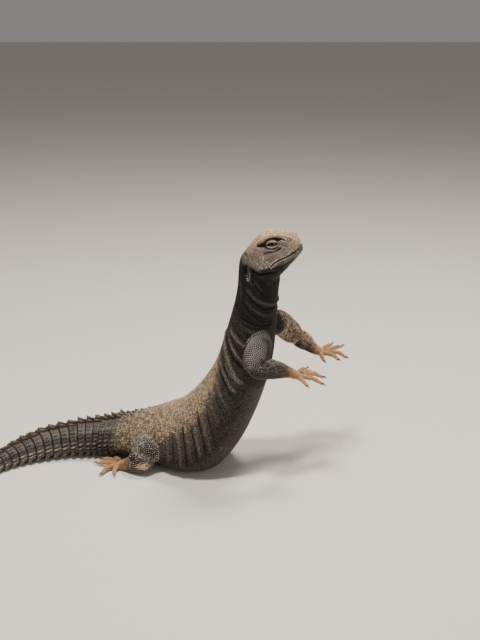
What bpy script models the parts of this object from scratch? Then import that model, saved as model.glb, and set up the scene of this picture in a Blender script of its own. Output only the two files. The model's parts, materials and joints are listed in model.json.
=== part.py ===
"""A life-size spiny-tailed desert lizard, reared up on its forelimbs, as a still museum model.

Metres, +Z up, +X the way the animal faces, -Y its right side. It rests on its belly, tail and
hind feet at Z = 0. The origin is on that level, on the flat below the hips.
"""
import math
import random

import bmesh
import bpy
from mathutils import Matrix, Vector

MM = 0.001
GAP = 0.3 * MM
RANDOM_SEED = 7

# The body from the hips to the snout lies in one upright plane, turned from +X towards -Y.
HEADING = math.radians(16)
# All places are worked out with the hips at HIP, and the finished pieces are moved by -HIP.
HIP = Vector((2 * MM, -12 * MM, 0))
FORWARD = Vector((math.cos(HEADING), -math.sin(HEADING), 0))
LEFT = Vector((math.sin(HEADING), math.cos(HEADING), 0))
UP = Vector((0, 0, 1))

# Head: distances behind the snout tip, and heights over the line of the head.
SNOUT_TIP = (173 * MM, 262 * MM)
HEAD_PITCH = math.radians(25)
HEAD_YAW = math.radians(5)
HEAD_TURN_START = 10.0
EYE_BEHIND_SNOUT = 21.5
EYE_HEIGHT = 10.6
EYE_RADIUS = 5.2 * MM
EYE_TO_MIDDLE = 14.7
LID_LENGTH, LID_HEIGHT, LID_THICKNESS = 4.9, 3.1, 1.5
MOUTH_LINE = [(2.6, -4.4), (8, -6.0), (14, -6.9), (20, -6.8), (26, -7.8), (31.5, -10.4)]
LIP_THICKNESS = 1.5
NOSTRIL = (6.8, 7.1)
BROW_LINE = [(33, 15.5), (28, 18), (22, 18.6), (15.5, 16), (9.5, 12)]
EAR_PLACE, EAR_ANGLE = 12.04, math.radians(19)
EAR_SIZE = (3.4, 8.5, 3.6)

# Tail
TAIL_LENGTH = 236 * MM
TAIL_START_TURN = math.radians(-18)
TAIL_END_TURN = math.radians(84)
TAIL_WHORLS = 25
TAIL_SCALES = 14
TAIL_PIECES = (7, 13, 19, 25)
TAIL_SPINE = 4.2 * MM
TAIL_START = (-30 * MM, 0.0)

TRUNK_SIDES = 30
HEAD_SIDES = 32
LIMB_SIDES = 14
DIGIT_SIDES = 8
CLAW_SIDES = 6
CLAW_LENGTH = 6.0

SKIN_COLOUR = (0.105, 0.098, 0.088)
TAIL_COLOUR = (0.12, 0.115, 0.105)
THROAT_COLOUR = (0.03, 0.029, 0.028)
FOOT_COLOUR = (0.42, 0.32, 0.25)
CLAW_COLOUR = (0.16, 0.12, 0.09)
EYE_COLOUR = (0.02, 0.015, 0.012)

# Limbs, in millimetres: x, y, z, half width, half thickness. The right foreleg and the left one
# are set down in different places, the left hind leg is the mirror image of the right one.
RIGHT_UPPER_ARM = [
    (120, -56, 161, 13.5, 13.5),
    (125, -78, 155.5, 13.2, 13.6),
    (120, -90, 145, 12.4, 12.4),
    (118, -95, 131.5, 11.3, 11.3),
]
RIGHT_FOREARM = [
    (114, -96, 136, 10.5, 11),
    (129, -91, 135, 11, 11.5),
    (143, -84, 131, 9.5, 9.8),
    (156, -76, 125.5, 7, 6.4),
    (163, -71.5, 121, 8, 5),
    (170, -67, 118.5, 9, 3.6),
]
LEFT_UPPER_ARM = [
    (138, -34, 165, 14, 14),
    (148, -14, 161, 13.5, 14),
    (159, 0, 148, 12.6, 13),
    (172, 9, 134, 11.5, 12),
]
LEFT_FOREARM = [
    (165, 7, 141, 11.5, 11.5),
    (178, 8, 131.5, 10, 10),
    (186, 6, 125.5, 7.6, 7.2),
    (191, 6, 122, 7, 6),
    (196, 7, 119.8, 8, 4.8),
    (201, 9, 118.5, 8.6, 3.6),
]
THIGH = [
    (-4, -26, 27, 15.5, 15.5),
    (0, -44, 26, 15.5, 14.8),
    (3.5, -57, 25.5, 14.6, 14.3),
    (5, -68, 24, 12.4, 12.4),
]
SHANK = [
    (9, -63, 17, 12.5, 12.5),
    (-3, -60, 13.6, 12, 12),
    (-13, -57, 10, 9.4, 9.8),
    (-22, -52.5, 7, 6.8, 6.8),
    (-28, -48.5, 4.6, 7.5, 4.8),
    (-32, -44, 3.8, 8.5, 3.8),
]
# Digits: root, middle, tip, and the thickness at both ends.
RIGHT_DIGITS = [
    ((168, -61, 118.5), (171, -51, 118.8), (178, -42, 117), 2.8, 1.8),
    ((171, -63, 118.5), (178, -56, 119.2), (184, -57, 117), 3, 1.9),
    ((172, -67, 118.5), (184, -65, 119.4), (193, -69, 117), 3, 1.9),
    ((171, -71, 118.5), (182, -79, 119.2), (191, -89, 117), 3, 1.9),
    ((167, -73, 118.5), (171, -84, 118.8), (175, -95, 117), 2.8, 1.8),
]
LEFT_DIGITS = [
    ((199, 14, 118.5), (205, 27, 118.9), (213, 41, 117), 2.8, 1.8),
    ((202, 12, 118.5), (214, 21, 119.3), (224, 33, 117), 3, 1.9),
    ((203, 8, 118.5), (216, 4, 119.4), (224, -6, 117), 3, 1.9),
    ((201, 4, 118.5), (210, -5, 119.2), (215, -14, 117), 3, 1.9),
    ((197, 3, 118.5), (197, -9, 118.8), (199, -20, 117), 2.8, 1.8),
]
HIND_DIGITS = [
    ((-30, -48, 3.6), (-34, -59, 4.2), (-33, -69, 2.6), 2.9, 1.9),
    ((-32, -48, 3.6), (-42, -55, 4.6), (-48, -67, 2.6), 3.1, 1.9),
    ((-34, -44, 3.6), (-46, -43, 4.6), (-56, -40, 2.6), 3.1, 1.9),
    ((-33, -41, 3.6), (-43, -33, 4.2), (-51, -29, 2.6), 3, 1.9),
    ((-30, -39, 3.6), (-34, -31, 4.0), (-38, -27, 2.6), 2.7, 1.8),
]


def clear_scene():
    for obj in list(bpy.data.objects):
        bpy.data.objects.remove(obj)


def material(name, colour, roughness):
    made = bpy.data.materials.new(name)
    made.use_nodes = True
    shader = made.node_tree.nodes["Principled BSDF"]
    shader.inputs["Base Color"].default_value = (*colour, 1)
    shader.inputs["Roughness"].default_value = roughness
    shader.inputs["Metallic"].default_value = 0
    return made


def in_plane(s, z):
    """The point of the body's upright plane at distance s ahead of the hips and height z."""
    return HIP + FORWARD * s + UP * z


def head_point(behind, height):
    """(s, z) of a point of the head's profile."""
    c, d = math.cos(HEAD_PITCH), math.sin(HEAD_PITCH)
    return (
        SNOUT_TIP[0] - behind * 1.03 * c - height * d,
        SNOUT_TIP[1] - behind * 1.03 * d + height * c,
    )


def ring(back, belly, half_width, level=0.42, square=0.9):
    """One cross-section: its top and bottom points (s, z) in millimetres, and its half width."""
    return {
        "back": Vector(back) * MM,
        "belly": Vector(belly) * MM,
        "width": half_width * MM,
        "level": level,
        "square": square,
    }


def head_ring(behind, top, bottom, half_width, level, square):
    """A cross-section square to the line of the head."""
    made = ring((0, 0), (0, 0), half_width, level, square)
    made["back"] = Vector(head_point(behind * MM, top * MM))
    made["belly"] = Vector(head_point(behind * MM, bottom * MM))
    return made


# From the root of the tail to the snout.
RINGS = [
    ring((-30, 47), (-30, 0), 29, 0.44),               # 0 root of the tail
    ring((0, 57), (3, -1), 36, 0.40),                  # 1 hips
    ring((20, 65), (28, -2), 44, 0.38),                # 2 loins
    ring((39, 73.5), (56, -2.8), 53, 0.38),                # 3 belly
    ring((55, 88.5), (84, 3.5), 54, 0.40),                 # 4 front of the belly
    ring((70, 107), (106, 30), 51, 0.42),              # 5 last ribs
    ring((83.5, 130), (123, 66), 46, 0.44),              # 6 ribs
    ring((92, 155), (135, 101), 42, 0.46),             # 7 behind the shoulders
    ring((98.8, 178), (142, 133), 38, 0.48),             # 8 shoulders
    ring((104, 198), (145, 162), 33, 0.50),            # 9 root of the neck
    ring((106.8, 216), (146.5, 183), 29, 0.50),          # 10 neck
    ring((107.5, 231), (147.5, 196), 27, 0.50),            # 11 throat
    ring((109.5, 244), (148, 205.5), 26.5, 0.50),          # 12 ears
    ring((117, 254.6), (148, 214), 27, 0.46, 0.85),  # 13 back of the jaw
    head_ring(40, 23, -26, 26.5, 0.42, 0.80),        # 14
    head_ring(33, 25.6, -23, 24.5, 0.42, 0.78),      # 15 behind the eye
    head_ring(27, 25.2, -20.3, 22.5, 0.42, 0.78),      # 16 eye
    head_ring(20, 22.8, -17.4, 19.5, 0.42, 0.80),      # 17
    head_ring(14, 19.8, -15, 16.8, 0.42, 0.84),      # 18
    head_ring(9, 16.4, -12.6, 14.2, 0.42, 0.88),           # 19 nostril
    head_ring(5, 13.2, -10.4, 11.8, 0.42, 0.92),        # 20
    head_ring(2, 9.6, -8.4, 8.8, 0.42, 0.95),              # 21
    head_ring(0.3, 5.2, -5.2, 5, 0.45, 1),             # 22 tip of the snout
]
LAST_RING = len(RINGS) - 1
HEAD_DISTANCES = [40, 33, 27, 20, 14, 9, 5, 2, 0.3]
FIRST_HEAD_RING = 14
HEAD_START, NECK_START, CHEST_START, BELLY_START = 11.2, 9.0, 5.6, 2.6


def smooth(a, b, x):
    t = min(max((x - a) / (b - a), 0.0), 1.0)
    return t * t * (3 - 2 * t)


def cubic(values, at):
    """Catmull-Rom interpolation of a list of numbers or vectors."""
    last = len(values) - 1
    at = min(max(at, 0.0), last - 1e-9)
    i = int(at)
    t = at - i
    p1, p2 = values[i], values[i + 1]
    p0 = values[i - 1] if i > 0 else p1 + (p1 - p2)
    p3 = values[i + 2] if i + 2 <= last else p2 + (p2 - p1)
    return 0.5 * (2 * p1 + (p2 - p0) * t + (2 * p0 - 5 * p1 + 4 * p2 - p3) * t * t
                  + (3 * p1 - p0 - 3 * p2 + p3) * t * t * t)


def steps(start, end, count):
    return [start + (end - start) * i / count for i in range(count + 1)]


def head_turn():
    """The head looks a little to the right of the body's plane."""
    pivot = in_plane(125 * MM, 0)
    return pivot, Matrix.Rotation(-HEAD_YAW, 4, "Z")


def section(at):
    """Centre, side and up directions, half width, height above and below, at a place along RINGS."""
    back = cubic([r["back"] for r in RINGS], at)
    belly = cubic([r["belly"] for r in RINGS], at)
    width = cubic([r["width"] for r in RINGS], at)
    level = cubic([r["level"] for r in RINGS], at)
    square = cubic([r["square"] for r in RINGS], at)
    top, bottom = in_plane(*back), in_plane(*belly)
    centre = bottom.lerp(top, level)
    height = (top - bottom).length
    up = (top - bottom).normalized()
    side = LEFT.copy()
    yaw = HEAD_YAW * smooth(HEAD_TURN_START, 15, at)
    if yaw:
        pivot = in_plane(125 * MM, 0)
        turn = Matrix.Rotation(-yaw, 3, "Z")
        centre = pivot + turn @ (centre - pivot)
        up = turn @ up
        side = turn @ side
    return centre, side, up, width, height * (1 - level), height * level, square


def body_point(at, angle, grow=0.0):
    """A point of the skin. Angle 0 is the left side, a quarter turn the back."""
    centre, side, up, width, above, below, square = section(at)
    c, s = math.cos(angle), math.sin(angle)
    across = math.copysign(abs(c) ** square, c) * (width + grow)
    tall = math.copysign(abs(s) ** square, s) * ((above if s > 0 else below) + grow)
    return centre + side * across + up * tall


def on_head(behind, height, way, grow=0.0):
    """The point of the head's skin at a distance behind the snout and a height, in millimetres."""
    place = FIRST_HEAD_RING
    for i in range(len(HEAD_DISTANCES) - 1):
        far, near = HEAD_DISTANCES[i], HEAD_DISTANCES[i + 1]
        if behind <= far:
            place = FIRST_HEAD_RING + i + min(max((far - behind) / (far - near), 0), 1)
    centre, side, up, width, above, below, square = section(place)
    middle = Vector(head_point(behind * MM, 0))
    rise = (in_plane(*middle) - centre).dot(UP) / max(up.dot(UP), 0.1)
    tall = height * MM + rise
    reach = above if tall > 0 else below
    part = min(abs(tall) / reach, 0.98) ** (1 / square)
    angle = math.copysign(math.asin(part), tall)
    return body_point(place, angle if way > 0 else math.pi - angle, grow * MM)


def in_head(behind, across, height):
    """A point inside the head, in millimetres from the snout, to the left and over its line."""
    point = in_plane(*head_point(behind * MM, height * MM)) + LEFT * across * MM
    pivot, turn = head_turn()
    return pivot + turn.to_3x3() @ (point - pivot)


def finish_mesh(name, shape):
    mesh = bpy.data.meshes.new(name)
    shape.to_mesh(mesh)
    shape.free()
    obj = bpy.data.objects.new(name, mesh)
    bpy.context.scene.collection.objects.link(obj)
    return obj


def tube(name, stations, sides, point, start_shift=None, end_shift=None, joined=False):
    """A closed tube: a grid whose rows are wrapped into rings, with flat ends, or a closed loop."""
    shape = bmesh.new()
    rows = len(stations) if joined else len(stations) - 1
    bmesh.ops.create_grid(shape, x_segments=rows, y_segments=sides, size=0.5)
    for vert in shape.verts:
        i = round((vert.co.x + 0.5) * rows)
        j = round((vert.co.y + 0.5) * sides) % sides
        vert.co = point(stations[i % len(stations)], 2 * math.pi * j / sides)
        if i == 0 and start_shift:
            vert.co += start_shift
        if i == rows and end_shift:
            vert.co += end_shift
    bmesh.ops.remove_doubles(shape, verts=shape.verts, dist=1e-6)
    open_edges = [e for e in shape.edges if e.is_boundary]
    if open_edges:
        bmesh.ops.holes_fill(shape, edges=open_edges, sides=0)
    bmesh.ops.recalc_face_normals(shape, faces=shape.faces)
    return finish_mesh(name, shape)


def flat_on_floor(obj):
    """Cuts the piece off level with the floor, which leaves a small flat to rest on."""
    shape = bmesh.new()
    shape.from_mesh(obj.data)
    if min(v.co.z for v in shape.verts) < -1e-6:
        everything = list(shape.verts) + list(shape.edges) + list(shape.faces)
        bmesh.ops.bisect_plane(shape, geom=everything, dist=1e-6, plane_co=(0, 0, 0),
                               plane_no=(0, 0, 1), clear_inner=True)
        bmesh.ops.holes_fill(shape, edges=[e for e in shape.edges if e.is_boundary], sides=0)
        bmesh.ops.recalc_face_normals(shape, faces=shape.faces)
    shape.to_mesh(obj.data)
    shape.free()


def boolean(obj, others, operation, solver="EXACT"):
    """Joins or cuts obj with a list of mesh objects, which are then removed."""
    group = bpy.data.collections.new("operands")
    bpy.context.scene.collection.children.link(group)
    for other in others:
        bpy.context.scene.collection.objects.unlink(other)
        group.objects.link(other)
    modifier = obj.modifiers.new(operation.lower(), "BOOLEAN")
    modifier.operation = operation
    modifier.solver = solver
    modifier.operand_type = "COLLECTION"
    modifier.collection = group
    graph = bpy.context.evaluated_depsgraph_get()
    made = bpy.data.meshes.new_from_object(obj.evaluated_get(graph))
    obj.modifiers.clear()
    obj.data = made
    for other in others:
        bpy.data.objects.remove(other)
    bpy.data.collections.remove(group)
    keep_largest(obj)
    return obj


def keep_largest(obj):
    """Leaves only the largest closed surface of the mesh."""
    shape = bmesh.new()
    shape.from_mesh(obj.data)
    left = set(shape.verts)
    islands = []
    while left:
        seed = left.pop()
        island, front = {seed}, [seed]
        while front:
            for edge in front.pop().link_edges:
                for vert in edge.verts:
                    if vert in left:
                        left.discard(vert)
                        island.add(vert)
                        front.append(vert)
        islands.append(island)
    islands.sort(key=len)
    drop = [v for island in islands[:-1] for v in island]
    bmesh.ops.delete(shape, geom=drop, context="VERTS")
    bmesh.ops.remove_doubles(shape, verts=shape.verts, dist=5e-6)
    shape.to_mesh(obj.data)
    shape.free()


def trunk_stations():
    return {
        "pelvis": steps(0, BELLY_START, 5),
        "belly": steps(BELLY_START, CHEST_START, 6),
        "chest": steps(CHEST_START, NECK_START, 6),
        "neck": steps(NECK_START, HEAD_START, 4),
    }


def trunk_node(name, stations, sides):
    """A length of the body between two cuts, each half a gap inside its place."""
    def shift(at, way):
        side, up = section(at)[1:3]
        return side.cross(up) * (-way) * GAP / 2
    first = shift(stations[0], -1)
    last = shift(stations[-1], 1) if stations[-1] < LAST_RING else None
    return tube(name, stations, sides, body_point, first, last)


def trunk_cutter():
    """The trunk and neck as one body, a gap larger all round."""
    places = sorted({round(at, 6) for part in trunk_stations().values() for at in part})
    return tube("cutter", places, TRUNK_SIDES, lambda at, a: body_point(at, a, GAP))


def limb(path):
    """A limb's centre line with its radii, and directions that do not twist along it."""
    values = [Vector(p) * MM for p in path]
    count = 24
    last = len(values) - 1
    ups = [None] * (count + 1)
    up = UP.copy()
    for i in range(count, -1, -1):
        at = last * i / count
        along = (cubic(values, at + 0.02) - cubic(values, at - 0.02)).to_3d().normalized()
        up = (up - along * up.dot(along)).normalized()
        ups[i] = up.copy()
    return {"values": values, "ups": ups, "last": last}


def limb_frame(member, at):
    """Centre, along, side, up, half width and half thickness."""
    values, last = member["values"], member["last"]
    here = cubic(values, at)
    along = (cubic(values, at + 0.02) - cubic(values, at - 0.02)).to_3d().normalized()
    up = cubic(member["ups"], at / last * (len(member["ups"]) - 1))
    up = (up - along * up.dot(along)).normalized()
    return here.to_3d(), along, along.cross(up), up, here[3], here[4]


def limb_point(member, grow=0.0, cap_start=0.0, cap_end=0.0):
    """The surface of a limb, with rounded ends of the given lengths along its path."""
    def point(at, angle):
        centre, along, side, up, wide, thick = limb_frame(member, at)
        round_off = 1.0
        if cap_start and at < cap_start:
            round_off = math.sqrt(max(1 - (1 - at / cap_start) ** 2, 0.03))
        if cap_end and at > member["last"] - cap_end:
            round_off = math.sqrt(max(1 - (1 - (member["last"] - at) / cap_end) ** 2, 0.03))
        return (centre + side * math.cos(angle) * (wide * round_off + grow)
                + up * math.sin(angle) * (thick * round_off + grow))
    return point


def capped_steps(start, end, count, cap_start=0.0, cap_end=0.0):
    """Places along a limb, closer together where it is rounded off."""
    places = []
    if cap_start:
        places += [start + cap_start * (1 - math.cos(math.radians(a))) for a in (0, 30, 60)]
    places += steps(start + cap_start, end - cap_end, count)
    if cap_end:
        places += [end - cap_end * (1 - math.cos(math.radians(a))) for a in (60, 30, 0)]
    return places


def upper_limb(name, path, count=5):
    member = limb(path)
    places = capped_steps(0, member["last"], count, 0.5, 0.8)
    part = tube(name, places, LIMB_SIDES, limb_point(member, 0, 0.5, 0.8))
    cutter = tube("cutter", places, LIMB_SIDES, limb_point(member, GAP, 0.5, 0.8))
    boolean(part, [trunk_cutter()], "DIFFERENCE")
    return part, cutter


def lower_limb(name, path, upper_cutter, wrist=3.0):
    """The forearm or shank, rounded where it meets the limb above and flat at the wrist."""
    member = limb(path)
    along = limb_frame(member, wrist)[1]
    part = tube(name, capped_steps(0, wrist, 5, 0.8, 0), LIMB_SIDES,
                limb_point(member, 0, 0.8, 0), None, along * -GAP / 2)
    boolean(part, [upper_cutter], "DIFFERENCE")
    boolean(part, [trunk_cutter()], "DIFFERENCE")
    return part


def hand(name, path, digits, wrist=3.0):
    """The palm or sole with its five digits, and the claws as pieces of their own."""
    member = limb(path)
    along = limb_frame(member, wrist)[1]
    palm = tube(name, capped_steps(wrist, member["last"], 2, 0, 0.7), LIMB_SIDES,
                limb_point(member, 0, 0, 0.7), along * GAP / 2)
    fingers, claws = [], []
    for number, (root, middle, tip, thick, thin) in enumerate(digits, 1):
        path = [(*root, thick, thick * 0.95)]
        path.append((*middle, (thick + thin) / 2, (thick + thin) / 2))
        path.append((*tip, thin, thin))
        digit = limb(path)
        fingers.append(tube("digit", steps(0, 2, 6), DIGIT_SIDES, limb_point(digit)))
        claws.append(claw(f"{name}_claw_{number}", digit))
    boolean(palm, fingers, "UNION")
    lower = tube("cutter", steps(1.0, wrist, 5), LIMB_SIDES, limb_point(member, GAP),
                 None, along * -GAP / 2)
    boolean(palm, [lower], "DIFFERENCE")
    return palm, claws


def claw(name, digit):
    """A curved horn claw ahead of the tip of a digit."""
    centre, along, side, up, wide, thick = limb_frame(digit, 2.0)
    start = centre + along * GAP
    flat = Vector((along.x, along.y, 0)).normalized()
    lowest = start - UP * 1.3 * MM

    def point(at, angle):
        radius = thick * 0.86 * (1 - at) ** 0.75 + 0.18 * MM
        middle = start.lerp(lowest, at * at) + flat * CLAW_LENGTH * MM * at
        middle += UP * 1.1 * MM * math.sin(math.pi * at)
        across = flat.cross(UP)
        if at == 0:
            return middle + side * math.cos(angle) * radius + up * math.sin(angle) * radius
        return middle + across * math.cos(angle) * radius * 0.8 + UP * math.sin(angle) * radius

    return tube(name, [0, 0.25, 0.5, 0.75, 1], CLAW_SIDES, point)


def tail_line():
    """Places along the tail's centre line, and which way its cross-sections face there."""
    point = in_plane(TAIL_START[0], 0)
    places = []
    count = 400
    for i in range(count + 1):
        part = i / count
        turn = TAIL_START_TURN + (TAIL_END_TURN - TAIL_START_TURN) * part ** 0.91
        way = Vector((-math.cos(turn), -math.sin(turn), 0))
        facing = -HEADING + (turn + HEADING) * smooth(0, 0.16, part)
        places.append((point.copy(), Vector((-math.cos(facing), -math.sin(facing), 0))))
        point = point + way * TAIL_LENGTH / count
    return places


TAIL_LINE = tail_line()
TAIL_HALF_WIDTHS = [29, 28.2, 27, 25, 22, 18.6, 15, 11.8, 8.8, 6.2, 4.2]
TAIL_HEIGHTS = [47, 40.5, 37, 34, 31, 26.2, 21.2, 16.7, 12.8, 10, 7.6]


def whorl_places():
    """Where each whorl begins along the tail, from 0 to 1. They are longest near its middle."""
    sizes = [0.78 + 0.22 * smooth(0, 8, i) - 0.42 * smooth(9, TAIL_WHORLS, i) for i in range(TAIL_WHORLS)]
    total = sum(sizes)
    places = [0.0]
    for size in sizes:
        places.append(places[-1] + size / total)
    return places


def tail_point(along, angle, factor, out=0.0, back=0.0):
    """A point of the tail's skin, moved outwards and backwards by a spine."""
    at = min(along, 1.0) * 400
    i = min(int(at), 399)
    centre = TAIL_LINE[i][0].lerp(TAIL_LINE[i + 1][0], at - i)
    way = TAIL_LINE[i][1]
    wide = cubic(TAIL_HALF_WIDTHS, along * 10) * MM * factor
    tall = cubic(TAIL_HEIGHTS, along * 10) * MM
    side = UP.cross(-way)
    c, s = math.cos(angle), math.sin(angle)
    square = 0.9
    middle = tall * 0.44
    reach = (tall - middle if s > 0 else middle) * factor
    across = math.copysign(abs(c) ** square, c)
    high = math.copysign(abs(s) ** square, s)
    outward = (side * c + UP * s).normalized()
    return (centre + side * across * wide + UP * (middle + high * reach)
            + outward * out + way * back)


def spine_size(angle, along, vary):
    """Long on the back and longest low on the sides, none on the underside."""
    lift = math.sin(angle)
    size = smooth(-0.72, -0.3, lift)
    low_side = smooth(0.35, 0.9, abs(math.cos(angle)))
    return TAIL_SPINE * size * (0.75 + 0.45 * low_side) * (1 - 0.35 * along) * vary


def tail_node(name, first, last):
    """Some whorls of the tail, each rising to a rim with a row of spines in one piece with it."""
    places = whorl_places()
    rows = []
    for i in range(first, last):
        length = places[i + 1] - places[i]
        rows.append((places[i], "valley", i))
        rows.append((places[i] + length * 0.8, "rim", i))
        rows.append((places[i] + length * 0.9, "tips", i))
    rows.append((places[last], "valley" if last < TAIL_WHORLS else "end", last))
    chance = random.Random(RANDOM_SEED + first)
    variety = {(i, j): chance.uniform(0.85, 1.12) for i in range(first, last) for j in range(TAIL_SCALES)}

    def point(row, angle):
        along, kind, i = row
        if kind == "rim":
            return tail_point(along, angle, 1.03)
        if kind == "tips":
            j = round(angle / (2 * math.pi) * TAIL_SCALES * 2)
            if j % 2:
                return tail_point(along, angle, 1.02)
            length = spine_size(angle, along, variety[i, j // 2])
            return tail_point(along, angle, 1.04, length * 0.55, length * 0.7)
        if kind == "end":
            return tail_point(1.0, angle, 0.35, 0, 2 * MM)
        return tail_point(along, angle, 0.95)

    way = TAIL_LINE[round(places[first] * 400)][1]
    first_shift = way * GAP / 2
    last_shift = None
    if last < TAIL_WHORLS:
        last_shift = TAIL_LINE[round(places[last] * 400)][1] * -GAP / 2
    part = tube(name, rows, TAIL_SCALES * 2, point, first_shift, last_shift)
    flat_on_floor(part)
    return part


def ball(name, centre, radii, directions, segments=16, rings=10):
    """An ellipsoid with its three half lengths along three directions."""
    shape = bmesh.new()
    bmesh.ops.create_uvsphere(shape, u_segments=segments, v_segments=rings, radius=1)
    for vert in shape.verts:
        x, y, z = vert.co
        vert.co = centre + directions[0] * radii[0] * x + directions[1] * radii[1] * y + directions[2] * radii[2] * z
    bmesh.ops.recalc_face_normals(shape, faces=shape.faces)
    return finish_mesh(name, shape)


def cord(name, points, radius, sides=8, joined=False, facing=UP):
    """A rounded cord through a list of points, thinner towards its ends."""
    last = len(points) - 1

    def point(i, angle):
        here = points[i]
        before = points[i - 1] if (joined or i) else here
        after = points[(i + 1) % len(points)] if (joined or i < last) else here
        along = (after - before).normalized()
        side = along.cross(facing).normalized()
        up = side.cross(along)
        size = radius
        if not joined:
            size *= 0.35 + 0.65 * math.sin(math.pi * i / last) ** 0.5
        return here + (side * math.cos(angle) + up * math.sin(angle)) * size

    return tube(name, list(range(last + 1)), sides, point, None, None, joined)


def mouth_points(lift, grow, count=7):
    """Points of the skin round the mouth from the left corner to the right one."""
    line = [Vector(p) for p in MOUTH_LINE]
    half = []
    for i in range(count + 1):
        behind, height = cubic(line, (len(line) - 1) * i / count)
        half.append((behind, height + lift))
    left = [on_head(b, h, 1, grow) for b, h in reversed(half)]
    right = [on_head(b, h, -1, grow) for b, h in half]
    front = in_head(0.3 - grow, 0, MOUTH_LINE[0][1] + lift + 0.6)
    return left + [front] + right


def make_head():
    head = trunk_node("head", steps(HEAD_START, FIRST_HEAD_RING, 6)[:-1]
                      + steps(FIRST_HEAD_RING, LAST_RING, 14), HEAD_SIDES)
    head_along = (in_head(0, 0, 0) - in_head(10, 0, 0)).normalized()
    head_left = (in_head(0, 10, 0) - in_head(0, 0, 0)).normalized()
    head_up = head_along.cross(head_left)
    added, cut, eyes = [], [], []
    for way, side in ((1, "left"), (-1, "right")):
        eye_at = in_head(EYE_BEHIND_SNOUT, way * EYE_TO_MIDDLE, EYE_HEIGHT)
        out = head_left * way
        across = Matrix.Rotation(0.12 * way, 3, head_up) @ head_along
        lids = []
        for i in range(14):
            a = 2 * math.pi * i / 14
            lids.append(eye_at + out * 3.9 * MM + across * LID_LENGTH * MM * math.cos(a)
                        + head_up * LID_HEIGHT * MM * math.sin(a))
        added.append(cord("lids", lids, LID_THICKNESS * MM, 8, True, out))
        added.append(cord("brow", [on_head(b, h, way, 0.1) for b, h in BROW_LINE], 2.3 * MM))
        socket = [EYE_RADIUS + GAP] * 3
        cut.append(ball("socket", eye_at, socket, (head_along, head_left, head_up)))
        eyes.append(ball(f"eye_{side}", eye_at, [EYE_RADIUS] * 3, (head_along, head_left, head_up)))
        nostril = on_head(*NOSTRIL, way, 0)
        cut.append(ball("nostril", nostril, (1.5 * MM, 1.4 * MM, 1.1 * MM),
                        (head_along, head_left, head_up), 10, 6))
        angle = EAR_ANGLE if way > 0 else math.pi - EAR_ANGLE
        ear = body_point(EAR_PLACE, angle)
        upward = (body_point(EAR_PLACE + 0.3, angle) - body_point(EAR_PLACE - 0.3, angle)).normalized()
        outward = (body_point(EAR_PLACE, angle, MM) - ear).normalized()
        outward = (outward - upward * outward.dot(upward)).normalized()
        forward = upward.cross(outward)
        sizes = [size * MM for size in EAR_SIZE]
        cut.append(ball("ear", ear, sizes, (forward, upward, outward), 12, 8))
    added.append(cord("upper_lip", mouth_points(1.5, -0.5), LIP_THICKNESS * MM))
    added.append(cord("lower_lip", mouth_points(-1.7, -0.6), LIP_THICKNESS * MM))
    boolean(head, added, "UNION")
    cut.append(cord("mouth", mouth_points(0, 0.5), 0.7 * MM, 6))
    boolean(head, cut, "DIFFERENCE")
    return head, eyes


def mirror_body(values):
    """The same place on the other side of the body's upright plane, in millimetres."""
    point = Vector(values[:3]) * MM - HIP
    point = HIP + point - LEFT * 2 * point.dot(LEFT)
    return (*(point / MM), *values[3:])


def build():
    head, eyes = make_head()
    parts = {"skin": [head], "throat": [], "tail": [], "feet": [], "claw": [], "eye": eyes}
    for name, places in trunk_stations().items():
        part = trunk_node(name, places, TRUNK_SIDES)
        flat_on_floor(part)
        parts["throat" if name == "neck" else "skin"].append(part)
    first = 0
    for number, last in enumerate(TAIL_PIECES, 1):
        parts["tail"].append(tail_node(f"tail_{number}", first, last))
        first = last
    left_thigh = [mirror_body(p) for p in THIGH]
    left_shank = [mirror_body(p) for p in SHANK]
    left_toes = []
    for *places, thick, thin in HIND_DIGITS:
        left_toes.append((*[mirror_body(p) for p in places], thick, thin))
    limbs = (
        ("right", "upper_arm", "forearm", "hand", RIGHT_UPPER_ARM, RIGHT_FOREARM, RIGHT_DIGITS),
        ("left", "upper_arm", "forearm", "hand", LEFT_UPPER_ARM, LEFT_FOREARM, LEFT_DIGITS),
        ("right", "thigh", "shank", "foot", THIGH, SHANK, HIND_DIGITS),
        ("left", "thigh", "shank", "foot", left_thigh, left_shank, left_toes),
    )
    for side, upper_name, lower_name, end_name, upper_path, lower_path, digits in limbs:
        upper, cutter = upper_limb(f"{side}_{upper_name}", upper_path)
        lower = lower_limb(f"{side}_{lower_name}", lower_path, cutter)
        end, claws = hand(f"{side}_{end_name}", lower_path, digits)
        for part in (upper, lower, end):
            flat_on_floor(part)
        parts["skin"] += [upper, lower]
        parts["feet"].append(end)
        parts["claw"] += claws
    looks = {
        "skin": material("skin", SKIN_COLOUR, 0.8),
        "throat": material("throat", THROAT_COLOUR, 0.8),
        "tail": material("tail", TAIL_COLOUR, 0.6),
        "feet": material("feet", FOOT_COLOUR, 0.8),
        "claw": material("claw", CLAW_COLOUR, 0.4),
        "eye": material("eye", EYE_COLOUR, 0.1),
    }
    for kind, group in parts.items():
        for obj in group:
            obj.data.transform(Matrix.Translation(-HIP))
            obj.data.materials.clear()
            obj.data.materials.append(looks[kind])


clear_scene()
build()
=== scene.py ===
"""Dresses the frame of a reared-up spiny-tailed desert lizard as a life-size museum model."""

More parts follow.
